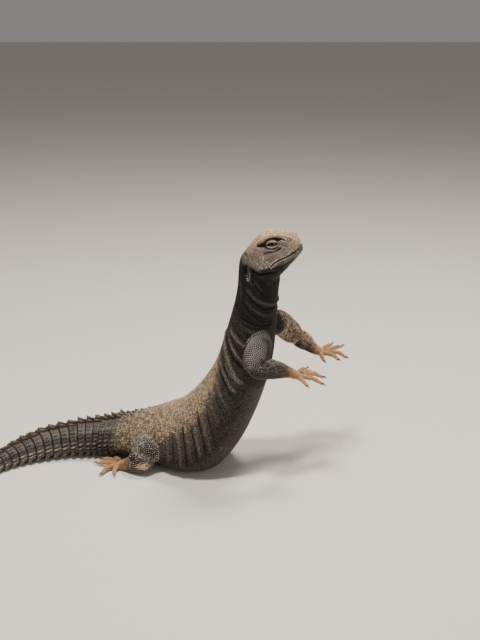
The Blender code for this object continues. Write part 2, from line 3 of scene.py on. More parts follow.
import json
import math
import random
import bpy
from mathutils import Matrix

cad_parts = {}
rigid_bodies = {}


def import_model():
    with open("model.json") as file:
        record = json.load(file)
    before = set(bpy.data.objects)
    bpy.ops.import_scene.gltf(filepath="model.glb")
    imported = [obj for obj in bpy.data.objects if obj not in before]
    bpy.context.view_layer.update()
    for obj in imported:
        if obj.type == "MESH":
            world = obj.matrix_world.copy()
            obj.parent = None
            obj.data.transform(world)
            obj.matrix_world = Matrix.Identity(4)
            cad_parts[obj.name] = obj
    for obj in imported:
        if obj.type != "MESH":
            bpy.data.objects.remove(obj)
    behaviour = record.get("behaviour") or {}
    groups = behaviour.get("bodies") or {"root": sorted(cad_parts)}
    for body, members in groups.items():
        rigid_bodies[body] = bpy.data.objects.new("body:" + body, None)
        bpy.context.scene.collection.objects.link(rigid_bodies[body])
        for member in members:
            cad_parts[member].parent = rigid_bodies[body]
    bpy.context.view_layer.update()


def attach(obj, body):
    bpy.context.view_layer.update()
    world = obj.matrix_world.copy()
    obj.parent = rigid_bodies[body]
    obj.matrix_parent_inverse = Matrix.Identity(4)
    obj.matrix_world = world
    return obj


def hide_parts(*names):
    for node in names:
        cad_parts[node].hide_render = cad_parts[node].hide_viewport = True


bl_info = {
    "name": "Spiny-tailed lizard model",
    "version": (1, 0, 0),
    "blender": (4, 5, 0),
    "location": "3D View > Sidebar > Lizard",
    "description": "Builds a life-size desert lizard with scaled skin, whorled tail, eyes and claws",
    "category": "Object",
}

import bmesh
import bpy
import numpy as np
from bpy.props import FloatProperty, FloatVectorProperty, IntProperty, PointerProperty
from mathutils import Matrix, Quaternion, Vector, kdtree, noise
from mathutils.bvhtree import BVHTree

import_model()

MM = 0.001
UP = Vector((0, 0, 1))

# The frame of the solids: the body stands in one upright plane through the hips.
HEADING = math.radians(16)
LIMB_ORIGIN = Vector((2, -12, 0))
FORWARD = Vector((math.cos(HEADING), -math.sin(HEADING), 0))
LEFT = Vector((math.sin(HEADING), math.cos(HEADING), 0))

# Head, in millimetres behind the snout tip and over the line of the head.
SNOUT_TIP = (173 * MM, 262 * MM)
HEAD_PITCH = math.radians(25)
HEAD_YAW = math.radians(5)
HEAD_TURN_START = 10.0
EYE_BEHIND_SNOUT = 21.5
EYE_HEIGHT = 10.6
EYE_TO_MIDDLE = 14.7
MOUTH_LINE = [(2.6, -4.4), (8, -6.0), (14, -6.9), (20, -6.8), (26, -7.8), (31.5, -10.4)]
BROW_LINE = [(34, 17.2), (29.4, 18.2), (23.5, 19), (16.3, 16.8), (9.7, 12.6)]
NOSTRIL = (6.8, 7.1)
EAR_PLACE, EAR_ANGLE = 12.04, 19

TAIL_LENGTH = 236 * MM
TAIL_START_TURN = math.radians(-18)
TAIL_END_TURN = math.radians(84)
TAIL_START = -30 * MM
TAIL_STEPS = 400
TAIL_HALF_WIDTHS = [29, 28.2, 27, 25, 22, 18.6, 15, 11.8, 8.8, 6.2, 4.2]
TAIL_HEIGHTS = [47, 40.5, 37, 34, 31, 26.2, 21.2, 16.7, 12.8, 10, 7.6]

# Limbs, in millimetres: x, y, z, half width, half thickness.
RIGHT_UPPER_ARM = [
    (120, -56, 161, 13.5, 13.5),
    (125, -78, 155.5, 13.2, 13.6),
    (120, -90, 145, 12.4, 12.4),
    (118, -95, 131.5, 11.3, 11.3),
]
RIGHT_FOREARM = [
    (114, -96, 136, 10.5, 11),
    (129, -91, 135, 11, 11.5),
    (143, -84, 131, 9.5, 9.8),
    (156, -76, 125.5, 7, 6.4),
    (163, -71.5, 121, 8, 5),
    (170, -67, 118.5, 9, 3.6),
]
LEFT_UPPER_ARM = [
    (138, -34, 165, 14, 14),
    (148, -14, 161, 13.5, 14),
    (159, 0, 148, 12.6, 13),
    (172, 9, 134, 11.5, 12),
]
LEFT_FOREARM = [
    (165, 7, 141, 11.5, 11.5),
    (178, 8, 131.5, 10, 10),
    (186, 6, 125.5, 7.6, 7.2),
    (191, 6, 122, 7, 6),
    (196, 7, 119.8, 8, 4.8),
    (201, 9, 118.5, 8.6, 3.6),
]
THIGH = [
    (-4, -26, 27, 15.5, 15.5),
    (0, -44, 26, 15.5, 14.8),
    (3.5, -57, 25.5, 14.6, 14.3),
    (5, -68, 24, 12.4, 12.4),
]
SHANK = [
    (9, -63, 17, 12.5, 12.5),
    (-3, -60, 13.6, 12, 12),
    (-13, -57, 10, 9.4, 9.8),
    (-22, -52.5, 7, 6.8, 6.8),
    (-28, -48.5, 4.6, 7.5, 4.8),
    (-32, -44, 3.8, 8.5, 3.8),
]
RIGHT_DIGITS = [
    ((168, -61, 118.5), (171, -51, 118.8), (178, -42, 117), 2.8, 1.8),
    ((171, -63, 118.5), (178, -56, 119.2), (184, -57, 117), 3, 1.9),
    ((172, -67, 118.5), (184, -65, 119.4), (193, -69, 117), 3, 1.9),
    ((171, -71, 118.5), (182, -79, 119.2), (191, -89, 117), 3, 1.9),
    ((167, -73, 118.5), (171, -84, 118.8), (175, -95, 117), 2.8, 1.8),
]
LEFT_DIGITS = [
    ((199, 14, 118.5), (205, 27, 118.9), (213, 41, 117), 2.8, 1.8),
    ((202, 12, 118.5), (214, 21, 119.3), (224, 33, 117), 3, 1.9),
    ((203, 8, 118.5), (216, 4, 119.4), (224, -6, 117), 3, 1.9),
    ((201, 4, 118.5), (210, -5, 119.2), (215, -14, 117), 3, 1.9),
    ((197, 3, 118.5), (197, -9, 118.8), (199, -20, 117), 2.8, 1.8),
]
HIND_DIGITS = [
    ((-30, -48, 3.6), (-34, -59, 4.2), (-33, -69, 2.6), 2.9, 1.9),
    ((-32, -48, 3.6), (-42, -55, 4.6), (-48, -67, 2.6), 3.1, 1.9),
    ((-34, -44, 3.6), (-46, -43, 4.6), (-56, -40, 2.6), 3.1, 1.9),
    ((-33, -41, 3.6), (-43, -33, 4.2), (-51, -29, 2.6), 3, 1.9),
    ((-30, -39, 3.6), (-34, -31, 4.0), (-38, -27, 2.6), 2.7, 1.8),
]
# A swelling that fills the hollow behind the knee: x, y, z and radius.
KNEE_HOLLOW = (-6, -58, 19.4, 12.4)

# The skin lies so far over the floor that its scales clear it, and nothing comes nearer than the margin.
SKIN_LIFT = 0.5 * MM
FLOOR_MARGIN = 0.05 * MM
LOWEST_SPINE_TIP = 0.2 * MM

# Bare skin left round the eyes, the mouth and the ears.
EYE_CLEARANCE = 6.9 * MM
MOUTH_CLEARANCE = 1.6 * MM
EAR_CLEARANCE = 3.4 * MM

# Where the scales of the neck and of the head begin, along RINGS.
NECK_SCALES_START = 8.4
HEAD_SCALES_START = 13.2

# The lids' opening round the eye, in millimetres.
LID_TILT = math.radians(-14)
LID_HALF_LENGTH = 5.9
LID_ABOVE = 2.6
LID_BELOW = 2.1

# Sides of the tubes that make the skin, and of the whorls.
BODY_SIDES, LIMB_SIDES, DIGIT_SIDES, TAIL_SIDES = 168, 44, 20, 144

# How much of a limb's path is rounded off at the start and at the end of its upper and lower parts.
UPPER_CAPS = (0.5, 0.8)
LOWER_CAPS = (0.8, 0.7)

# Most triangles of one coat piece.
PIECE_TRIANGLES = 185000

# Width of one scale's patch in the map that the markings are baked to.
BAKE_PATCH = 0.003

# The lights, all turned to one place: name, place, width, part of the power, and colour.
LIGHT_TARGET = (0.06, 0, 0.12)
LIGHTS = [
    ("key", (-0.25, -0.5, 1.9), 0.3, 1.1, (1.0, 0.95, 0.87)),
    ("top", (0.55, 0.35, 1.6), 0.4, 0.7, (1.0, 0.94, 0.85)),
    ("fill", (1.1, -1.3, 0.7), 1.0, 0.2, (0.95, 0.97, 1.0)),
]
CAMERA_PLACE = (0.103, -1.039, 0.4906)
CAMERA_TILT = math.radians(72.5)
CAMERA_LENS = 55.4

# Tones of the markings beside those that a user may change, and of painted shade and painted highlights.
HIP_GREY = (0.115, 0.095, 0.075)
CHIN_GREY_AND_SHADE = (0.085, 0.078, 0.06)
# The chin's dark grey, with painted shadow under the jaw.
EAR_FLAP = (0.075, 0.063, 0.053)
# Painted shade in the skin's grooves.
GROOVE_SHADE = (0.01, 0.0085, 0.007)
SCALE_GAP = (0.01, 0.009, 0.008)
# Painted shade between the whorls of the tail.
WHORL_GAP_SHADE = (0.012, 0.01, 0.009)
# Painted highlights on the crests of the folds of neck and flanks.
NECK_CREST_HIGHLIGHT = (0.1, 0.092, 0.085)
FLANK_CREST_HIGHLIGHT = (0.25, 0.21, 0.165)
PALE_SPOT = (0.5, 0.39, 0.27)
DARK_SPOT = (0.05, 0.038, 0.027)
BELLY_SPOT = (0.3, 0.25, 0.2)
# Painted highlights on the crown.
CROWN_GLINT = (0.82, 0.72, 0.6)
JOWL_PALE = (0.55, 0.48, 0.41)
JOWL_DARK = (0.07, 0.055, 0.045)
LEFT_ARM_DARK, LEFT_ARM_TAN = (0.1, 0.06, 0.036), (0.52, 0.34, 0.2)
# Painted shade and painted light of the right upper arm.
RIGHT_ARM_SHADE, RIGHT_ARM_LIT = (0.03, 0.025, 0.021), (0.42, 0.385, 0.35)
FOREARM = (0.032, 0.022, 0.013)
FOREARM_PALE = (0.24, 0.2, 0.16)
FOREARM_UNDER = (0.02, 0.016, 0.012)
LEG_PALE = (0.3, 0.25, 0.2)
LEG_PATCH = (0.62, 0.45, 0.28)
LIMB_DOTS = (0.42, 0.36, 0.3)
# Paler tips of the tail's low scales and spines, partly painted highlights.
WHORL_TIP_PALE_AND_HIGHLIGHT = (0.27, 0.24, 0.2)
SPINE_PALE_AND_HIGHLIGHT = (0.3, 0.265, 0.22)
LIP_PALE = (0.72, 0.63, 0.53)
# Tan of the brow, and painted shadow under it.
BROW_TAN, BROW_SHADE = (0.3, 0.22, 0.15), (0.012, 0.01, 0.008)
FRINGE_DULL, FRINGE_PALE = (0.2, 0.17, 0.14), (0.52, 0.49, 0.44)
LID_PALE = (0.62, 0.52, 0.42)


# Sizes and colours a user may change.

class LizardBody(bpy.types.PropertyGroup):
    skin_inset: FloatProperty(
        name="Skin inset", description="How far the skin lies inside the solids, under its scales",
        default=0.5 * MM, unit="LENGTH")
    fold_depth: FloatProperty(
        name="Fold depth", description="Strength of the folds of neck and flanks", default=1.0)
    eye_radius: FloatProperty(
        name="Eye radius", description="Radius of the eyeball", default=5.2 * MM, unit="LENGTH")
    eye_colour: FloatVectorProperty(
        name="Eye colour", description="Dark brown of the iris", subtype="COLOR",
        default=(0.035, 0.018, 0.009))
    claw_length: FloatProperty(
        name="Claw length", description="Length of a claw", default=6 * MM, unit="LENGTH")
    claw_colour: FloatVectorProperty(
        name="Claw colour", description="Horn of the claws", subtype="COLOR", default=(0.13, 0.085, 0.055))


class LizardScales(bpy.types.PropertyGroup):
    trunk_pitch: FloatProperty(
        name="Trunk scale", description="Distance between the scales of the trunk",
        default=1.8 * MM, unit="LENGTH")
    head_pitch: FloatProperty(
        name="Head scale", description="Distance between the scales of the head",
        default=1.62 * MM, unit="LENGTH")
    limb_pitch: FloatProperty(
        name="Limb scale", description="Distance between the scales of the limbs",
        default=2.45 * MM, unit="LENGTH")
    foot_pitch: FloatProperty(
        name="Foot scale", description="Distance between the scales of hands and feet",
        default=1.35 * MM, unit="LENGTH")
    back_colour: FloatVectorProperty(
        name="Back", description="Tan grey of the back", subtype="COLOR", default=(0.3, 0.208, 0.13))
    flank_colour: FloatVectorProperty(
        name="Flank", description="Dark brown grey of the flanks", subtype="COLOR",
        default=(0.064, 0.05, 0.037))
    throat_colour: FloatVectorProperty(
        name="Throat", description="Nearly black throat and chest", subtype="COLOR",
        default=(0.0042, 0.0033, 0.0026))
    face_colour: FloatVectorProperty(
        name="Face", description="Grey brown of the cheeks", subtype="COLOR",
        default=(0.235, 0.185, 0.15))
    crown_colour: FloatVectorProperty(
        name="Crown", description="Light tan of the top of the head", subtype="COLOR",
        default=(0.44, 0.295, 0.17))
    limb_colour: FloatVectorProperty(
        name="Limbs", description="Dark brown grey of arms and legs", subtype="COLOR",
        default=(0.085, 0.07, 0.056))
    foot_colour: FloatVectorProperty(
        name="Feet", description="Pale tan of hands and feet", subtype="COLOR",
        default=(0.5, 0.275, 0.13))


class LizardTail(bpy.types.PropertyGroup):
    whorls: IntProperty(name="Whorls", description="Rings of scales along the tail", default=25, min=8)
    whorl_scales: IntProperty(
        name="Scales per whorl", description="Scales round a whorl at the root", default=36, min=8)
    spine: FloatProperty(
        name="Spine", description="Length of the tail's spines", default=4.2 * MM, unit="LENGTH")
    colour: FloatVectorProperty(
        name="Tail colour", description="Smooth dark grey of the tail", subtype="COLOR",
        default=(0.032, 0.0265, 0.021))


class LizardStage(bpy.types.PropertyGroup):
    floor_size: FloatProperty(name="Floor", description="Width of the floor", default=30.0, unit="LENGTH")
    floor_colour: FloatVectorProperty(
        name="Floor colour", description="Pale floor", subtype="COLOR", default=(0.72, 0.68, 0.62))
    light: FloatProperty(name="Light", description="Power of the main light", default=34.0)


# The body's shape, from the same named sizes as the solids.

def smooth(a, b, x):
    t = min(max((x - a) / (b - a), 0.0), 1.0)
    return t * t * (3 - 2 * t)


def steps(start, end, count):
    return [start + (end - start) * i / count for i in range(count + 1)]


def cubic(values, at):
    """Catmull-Rom interpolation of a list of numbers or vectors."""
    last = len(values) - 1
    at = min(max(at, 0.0), last - 1e-9)
    i = int(at)
    t = at - i
    p1, p2 = values[i], values[i + 1]
    p0 = values[i - 1] if i > 0 else p1 + (p1 - p2)
    p3 = values[i + 2] if i + 2 <= last else p2 + (p2 - p1)
    return 0.5 * (2 * p1 + (p2 - p0) * t + (2 * p0 - 5 * p1 + 4 * p2 - p3) * t * t
                  + (3 * p1 - p0 - 3 * p2 + p3) * t * t * t)


def mix(a, b, t):
    return tuple(p + (q - p) * t for p, q in zip(a, b))


def shaded(colour, factor):
    return tuple(c * factor for c in colour)


def angles_round(count):
    """So many angles evenly round a ring."""
    return [2 * math.pi * j / count for j in range(count)]


def in_plane(s, z):
    return FORWARD * s + UP * z


def head_point(behind, height):
    c, d = math.cos(HEAD_PITCH), math.sin(HEAD_PITCH)
    return (SNOUT_TIP[0] - behind * 1.03 * c - height * d, SNOUT_TIP[1] - behind * 1.03 * d + height * c)


def ring(back, belly, half_width, level=0.42, square=0.9):
    """One cross-section: its top and bottom points (s, z) in millimetres, and its half width."""
    return {"back": Vector(back) * MM, "belly": Vector(belly) * MM, "width": half_width * MM,
            "level": level, "square": square}


def head_ring(behind, top, bottom, half_width, level, square):
    made = ring((0, 0), (0, 0), half_width, level, square)
    made["back"] = Vector(head_point(behind * MM, top * MM))
    made["belly"] = Vector(head_point(behind * MM, bottom * MM))
    return made


RINGS = [
    ring((-30, 47), (-30, 0), 29, 0.44),
    ring((0, 57), (3, -1), 36, 0.40),
    ring((20, 65), (28, -2), 44, 0.38),
    ring((39, 73.5), (56, -2.8), 53, 0.38),
    ring((55, 88.5), (84, 3.5), 54, 0.40),
    ring((70, 107), (106, 30), 51, 0.42),
    ring((83.5, 130), (123, 66), 46, 0.44),
    ring((92, 155), (135, 101), 42, 0.46),
    ring((98.8, 178), (142, 133), 38, 0.48),
    ring((104, 198), (145, 162), 33, 0.50),
    ring((106.8, 216), (146.5, 183), 29, 0.50),
    ring((107.5, 231), (147.5, 196), 27, 0.50),
    ring((109.5, 244), (148, 205.5), 26.5, 0.50),
    ring((117, 254.6), (148, 214), 27, 0.46, 0.85),
    head_ring(40, 23, -26, 26.5, 0.42, 0.80),
    head_ring(33, 25.6, -23, 24.5, 0.42, 0.78),
    head_ring(27, 25.2, -20.3, 22.5, 0.42, 0.78),
    head_ring(20, 22.8, -17.4, 19.5, 0.42, 0.80),
    head_ring(14, 19.8, -15, 16.8, 0.42, 0.84),
    head_ring(9, 16.4, -12.6, 14.2, 0.42, 0.88),
    head_ring(5, 13.2, -10.4, 11.8, 0.42, 0.92),
    head_ring(2, 9.6, -8.4, 8.8, 0.42, 0.95),
    head_ring(0.3, 5.2, -5.2, 5, 0.45, 1),
]
LAST_RING = len(RINGS) - 1
FIRST_HEAD_RING = 14
HEAD_DISTANCES = [40, 33, 27, 20, 14, 9, 5, 2, 0.3]


def section(at):
    """Centre, side and up directions, half width, height above and below, at a place along RINGS."""
    back = cubic([r["back"] for r in RINGS], at)
    belly = cubic([r["belly"] for r in RINGS], at)
    width = cubic([r["width"] for r in RINGS], at)
    level = cubic([r["level"] for r in RINGS], at)
    square = cubic([r["square"] for r in RINGS], at)
    top, bottom = in_plane(*back), in_plane(*belly)
    centre = bottom.lerp(top, level)
    height = (top - bottom).length
    up = (top - bottom).normalized()
    side = LEFT.copy()
    yaw = HEAD_YAW * smooth(HEAD_TURN_START, 15, at)
    if yaw:
        pivot = in_plane(125 * MM, 0)
        turn = Matrix.Rotation(-yaw, 3, "Z")
        centre = pivot + turn @ (centre - pivot)
        up = turn @ up
        side = turn @ side
    return centre, side, up, width, height * (1 - level), height * level, square


def on_section(place, angle, grow=0.0):
    """A point of a cross-section. Angle 0 is the left side, a quarter turn the back."""
    centre, side, up, width, above, below, square = place
    c, s = math.cos(angle), math.sin(angle)
    across = math.copysign(abs(c) ** square, c) * (width + grow)
    tall = math.copysign(abs(s) ** square, s) * ((above if s > 0 else below) + grow)
    return centre + side * across + up * tall


def body_point(at, angle, grow=0.0):
    return on_section(section(at), angle, grow)


def head_place(behind, height):
    """Where along RINGS and at which angle a point of the head's left side lies."""
    place = FIRST_HEAD_RING
    for i in range(len(HEAD_DISTANCES) - 1):
        far, near = HEAD_DISTANCES[i], HEAD_DISTANCES[i + 1]
        if behind <= far:
            place = FIRST_HEAD_RING + i + min(max((far - behind) / (far - near), 0), 1)
    if behind > HEAD_DISTANCES[0]:
        place = FIRST_HEAD_RING - (behind - HEAD_DISTANCES[0]) / 9
    centre, side, up, width, above, below, square = section(place)
    middle = in_plane(*head_point(behind * MM, 0))
    tall = height * MM + (middle - centre).dot(UP) / max(up.dot(UP), 0.1)
    reach = above if tall > 0 else below
    part = min(abs(tall) / reach, 0.98) ** (1 / square)
    return place, math.copysign(math.asin(part), tall)


def on_head(behind, height, way, grow=0.0):
    place, angle = head_place(behind, height)
    return body_point(place, angle if way > 0 else math.pi - angle, grow * MM)


def in_head(behind, across, height):
    """A point inside the head, in millimetres from the snout, to the left and over its line."""
    point = in_plane(*head_point(behind * MM, height * MM)) + LEFT * across * MM
    pivot = in_plane(125 * MM, 0)
    return pivot + Matrix.Rotation(-HEAD_YAW, 3, "Z") @ (point - pivot)


def head_axes():
    """Directions ahead, to the left and up from the head."""
    ahead = (in_head(0, 0, 0) - in_head(10, 0, 0)).normalized()
    left = (in_head(0, 10, 0) - in_head(0, 0, 0)).normalized()
    return ahead, left, ahead.cross(left)


def limb(path):
    """A limb's centre line with its radii, and directions that do not twist along it."""
    values = [(Vector(p) - Vector((*LIMB_ORIGIN, 0, 0))) * MM for p in path]
    count = 24
    last = len(values) - 1
    ups = [None] * (count + 1)
    up = UP.copy()
    for i in range(count, -1, -1):
        at = last * i / count
        along = (cubic(values, at + 0.02) - cubic(values, at - 0.02)).to_3d().normalized()
        up = (up - along * up.dot(along)).normalized()
        ups[i] = up.copy()
    return {"values": values, "ups": ups, "last": last}


def limb_frame(member, at):
    """Centre, along, side, up, half width and half thickness."""
    values, last = member["values"], member["last"]
    here = cubic(values, at)
    along = (cubic(values, at + 0.02) - cubic(values, at - 0.02)).to_3d().normalized()
    up = cubic(member["ups"], at / last * (len(member["ups"]) - 1))
    up = (up - along * up.dot(along)).normalized()
    return here.to_3d(), along, along.cross(up), up, here[3], here[4]


def limb_point(member, grow=0.0, cap_start=0.0, cap_end=0.0, bulge=None):
    """The surface of a limb, with rounded ends of the given lengths along its path."""
    def point(at, angle):
        centre, _, side, up, wide, thick = limb_frame(member, at)
        size = 1.0
        if cap_start and at < cap_start:
            size = math.sqrt(max(1 - (1 - at / cap_start) ** 2, 0.02))
        if cap_end and at > member["last"] - cap_end:
            size = math.sqrt(max(1 - (1 - (member["last"] - at) / cap_end) ** 2, 0.02))
        if bulge:
            size *= bulge(at)
        return (centre + side * math.cos(angle) * (wide + grow) * size
                + up * math.sin(angle) * (thick + grow) * size)
    return point


def mirror_body(values):
    """The same place on the other side of the body's upright plane, in millimetres."""
    point = (Vector(values[:3]) - LIMB_ORIGIN) * MM
    point = point - LEFT * 2 * point.dot(LEFT)
    return (*(point / MM + LIMB_ORIGIN), *values[3:])


def mirror_digits(digits):
    return [(*[mirror_body(p) for p in places], thick, thin) for *places, thick, thin in digits]


LIMBS = {
    "right_arm": (RIGHT_UPPER_ARM, RIGHT_FOREARM, RIGHT_DIGITS),
    "left_arm": (LEFT_UPPER_ARM, LEFT_FOREARM, LEFT_DIGITS),
    "right_leg": (THIGH, SHANK, HIND_DIGITS),
    "left_leg": ([mirror_body(p) for p in THIGH], [mirror_body(p) for p in SHANK],
                 mirror_digits(HIND_DIGITS)),
}
NODE_WORDS = {"arm": ("upper_arm", "forearm", "hand"), "leg": ("thigh", "shank", "foot")}


def digit_limb(digit):
    root, middle, tip, thick, thin = digit
    half = (thick + thin) / 2
    return limb([(*root, thick, thick * 0.95), (*middle, half, half), (*tip, thin, thin)])


def tail_line():
    """Places along the tail's centre line, and which way its cross-sections face there."""
    point = in_plane(TAIL_START, 0)
    places = []
    for i in range(TAIL_STEPS + 1):
        part = i / TAIL_STEPS
        turn = TAIL_START_TURN + (TAIL_END_TURN - TAIL_START_TURN) * part ** 0.91
        way = Vector((-math.cos(turn), -math.sin(turn), 0))
        facing = -HEADING + (turn + HEADING) * smooth(0, 0.16, part)
        places.append((point.copy(), Vector((-math.cos(facing), -math.sin(facing), 0))))
        point = point + way * TAIL_LENGTH / TAIL_STEPS
    return places


TAIL_LINE = tail_line()


def tail_point(along, angle, factor, out=0.0, back=0.0):
    at = min(max(along, 0.0), 1.0) * TAIL_STEPS
    i = min(int(at), TAIL_STEPS - 1)
    centre = TAIL_LINE[i][0].lerp(TAIL_LINE[i + 1][0], at - i)
    way = TAIL_LINE[i][1]
    wide = cubic(TAIL_HALF_WIDTHS, along * 10) * MM * factor
    tall = cubic(TAIL_HEIGHTS, along * 10) * MM
    side = UP.cross(-way)
    c, s = math.cos(angle), math.sin(angle)
    middle = tall * 0.44
    reach = (tall - middle if s > 0 else middle) * factor
    outward = (side * c + UP * s).normalized()
    return (centre + side * math.copysign(abs(c) ** 0.9, c) * wide
            + UP * (middle + math.copysign(abs(s) ** 0.9, s) * reach) + outward * out + way * back)


def whorl_places(count):
    """Where each whorl begins along the tail, from 0 to 1. They are longest near its middle."""
    sizes = [0.78 + 0.22 * smooth(0, 8, i) - 0.42 * smooth(9, count, i) for i in range(count)]
    total = sum(sizes)
    places = [0.0]
    for size in sizes:
        places.append(places[-1] + size / total)
    return places


# Meshes.

def tube(stations, sides, point, joined=False):
    """A closed tube as a bmesh: a grid whose rows are wrapped into rings, its ends closed."""
    shape = bmesh.new()
    rows = len(stations) if joined else len(stations) - 1
    bmesh.ops.create_grid(shape, x_segments=rows, y_segments=sides, size=0.5)
    for vert in shape.verts:
        i = round((vert.co.x + 0.5) * rows)
        j = round((vert.co.y + 0.5) * sides) % sides
        vert.co = point(stations[i % len(stations)], 2 * math.pi * j / sides)
    bmesh.ops.remove_doubles(shape, verts=shape.verts, dist=1e-6)
    open_edges = [e for e in shape.edges if e.is_boundary]
    if open_edges:
        filled = bmesh.ops.holes_fill(shape, edges=open_edges, sides=0)["faces"]
        bmesh.ops.poke(shape, faces=filled)
    bmesh.ops.recalc_face_normals(shape, faces=shape.faces)
    return shape


def to_object(name, shape, rounded=True):
    mesh = bpy.data.meshes.new(name)
    for face in shape.faces:
        face.smooth = rounded
    shape.to_mesh(mesh)
    shape.free()
    obj = bpy.data.objects.new(name, mesh)
    bpy.context.scene.collection.objects.link(obj)
    return obj


def applied(obj):
    """Makes the object's modifiers part of its mesh."""
    graph = bpy.context.evaluated_depsgraph_get()
    mesh = bpy.data.meshes.new_from_object(obj.evaluated_get(graph))
    obj.modifiers.clear()
    old = obj.data
    obj.data = mesh
    bpy.data.meshes.remove(old)
    return obj


def united(obj, others):
    """Joins closed meshes into one surface."""
    group = bpy.data.collections.new("joined")
    bpy.context.scene.collection.children.link(group)
    for other in others:
        bpy.context.scene.collection.objects.unlink(other)
        group.objects.link(other)
    modifier = obj.modifiers.new("union", "BOOLEAN")
    modifier.operation = "UNION"
    modifier.solver = "MANIFOLD"
    modifier.operand_type = "COLLECTION"
    modifier.collection = group
    applied(obj)
    for other in others:
        bpy.data.objects.remove(other)
    bpy.data.collections.remove(group)
    return obj


def vertex_array(mesh, name="position"):
    values = np.zeros(len(mesh.vertices) * 3)
    source = mesh.vertices if name == "position" else mesh.vertex_normals
    source.foreach_get("co" if name == "position" else "vector", values)
    return values.reshape(-1, 3)


def paint(mesh, colours):
    layer = mesh.attributes.new("markings_and_light", "FLOAT_COLOR", "POINT")
    full = np.ones((len(mesh.vertices), 4))
    full[:, :3] = colours
    layer.data.foreach_set("color", full.ravel())


def finish_piece(obj, node_names, material):
    obj.data.materials.clear()
    obj.data.materials.append(material)
    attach(obj, "root")
    if node_names:
        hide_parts(*node_names)


# Materials.

def shader_tree(name):
    made = bpy.data.materials.new(name)
    made.use_nodes = True
    tree = made.node_tree
    return made, tree, tree.nodes["Principled BSDF"]


def mapped(tree, value, source, result):
    """The value with its range stretched from one pair of numbers to another."""
    node = tree.nodes.new("ShaderNodeMapRange")
    for ends, pair in (("From", source), ("To", result)):
        node.inputs[f"{ends} Min"].default_value = pair[0]
        node.inputs[f"{ends} Max"].default_value = pair[1]
    tree.links.new(value, node.inputs["Value"])
    return node.outputs["Result"]


# The marked finishes: darkening, roughness, fine and coarse grain, bump and specular level.
MARKED_FINISHES = {
    "scaly_skin": (0.42, 0.75, 2600, 160, 0.6, 0.3),
    "scales": (1.0, 0.55, 1500, 130, 0.5, 0.45),
    "throat_scales": (1.0, 0.32, 1500, 130, 0.4, 0.3),
    "keeled_scales": (1.0, 0.36, 1500, 130, 0.4, 0.7),
    "tail_scales": (1.0, 0.46, 900, 90, 0.35, 0.36),
    "lid_skin": (1.0, 0.6, 2200, 200, 0.4, 0.4),
}


def grain_value(tree, scale, detail=2):
    """A noise over the object; a larger scale gives a finer grain."""
    place = tree.nodes.new("ShaderNodeTexCoord")
    grain = tree.nodes.new("ShaderNodeTexNoise")
    grain.inputs["Scale"].default_value = scale
    grain.inputs["Detail"].default_value = detail
    tree.links.new(place.outputs["Object"], grain.inputs["Vector"])
    return grain.outputs["Fac"]


def colours_by(tree, value, start, end, first, second):
    """A ramp from a first colour, at the value start, to a second one at the value end."""
    ramp = tree.nodes.new("ShaderNodeValToRGB")
    for element, position, colour in zip(ramp.color_ramp.elements, (start, end), (first, second)):
        element.position = position
        element.color = (*colour, 1)
    tree.links.new(value, ramp.inputs["Fac"])
    return ramp


def marked_material(name, darken, roughness, fine, coarse, bump, specular):
    """The animal's markings, with painted shade and highlights, from the mesh, with grain in the colour and
    the surface.
    """
    made, tree, shader = shader_tree(name)
    nodes, links = tree.nodes, tree.links
    markings_and_light = nodes.new("ShaderNodeAttribute")
    markings_and_light.attribute_name = "markings_and_light"
    grain = grain_value(tree, fine, 4)
    dust = grain_value(tree, coarse, 3)
    both = nodes.new("ShaderNodeMath")
    both.operation = "MULTIPLY"
    links.new(mapped(tree, grain, (0.3, 0.7), (darken * 0.72, darken * 1.28)), both.inputs[0])
    links.new(mapped(tree, dust, (0.35, 0.65), (0.85, 1.15)), both.inputs[1])
    shade = nodes.new("ShaderNodeVectorMath")
    shade.operation = "SCALE"
    links.new(markings_and_light.outputs["Color"], shade.inputs[0])
    links.new(both.outputs["Value"], shade.inputs["Scale"])
    links.new(shade.outputs["Vector"], shader.inputs["Base Color"])
    rough = mapped(tree, grain, (0, 1), (roughness - 0.12, roughness + 0.12))
    links.new(rough, shader.inputs["Roughness"])
    lift = nodes.new("ShaderNodeBump")
    lift.inputs["Strength"].default_value = bump
    lift.inputs["Distance"].default_value = 0.2 * MM
    links.new(grain, lift.inputs["Height"])
    links.new(lift.outputs["Normal"], shader.inputs["Normal"])
    shader.inputs["Specular IOR Level"].default_value = specular
    return made


def eye_material(colour):
    """A dark iris round a black pupil, by the distance from the middle of the eye."""
    made, tree, shader = shader_tree("wet_eye")
    ring_part = tree.nodes.new("ShaderNodeAttribute")
    ring_part.attribute_name = "ring"
    ramp = colours_by(tree, ring_part.outputs["Fac"], 0.30, 0.36, (0.002, 0.002, 0.002), colour)
    edge = ramp.color_ramp.elements.new(0.62)
    edge.color = (*shaded(colour, 0.4), 1)
    tree.links.new(ramp.outputs["Color"], shader.inputs["Base Color"])
    shader.inputs["Roughness"].default_value = 0.1
    shader.inputs["Specular IOR Level"].default_value = 0.25
    shader.inputs["Coat Weight"].default_value = 0.15
    shader.inputs["Coat Roughness"].default_value = 0.03
    return made


def claw_material(colour):
    """Streaky dark horn."""
    made, tree, shader = shader_tree("claw_horn")
    ramp = colours_by(tree, grain_value(tree, 900), 0.35, 0.7, shaded(colour, 0.55), shaded(colour, 1.7))
    tree.links.new(ramp.outputs["Color"], shader.inputs["Base Color"])
    shader.inputs["Roughness"].default_value = 0.38
    return made


def floor_material(colour):
    made, tree, shader = shader_tree("pale_floor")
    ramp = colours_by(tree, grain_value(tree, 3), 0, 1, shaded(colour, 0.96), colour)
    tree.links.new(ramp.outputs["Color"], shader.inputs["Base Color"])
    shader.inputs["Roughness"].default_value = 0.9
    return made


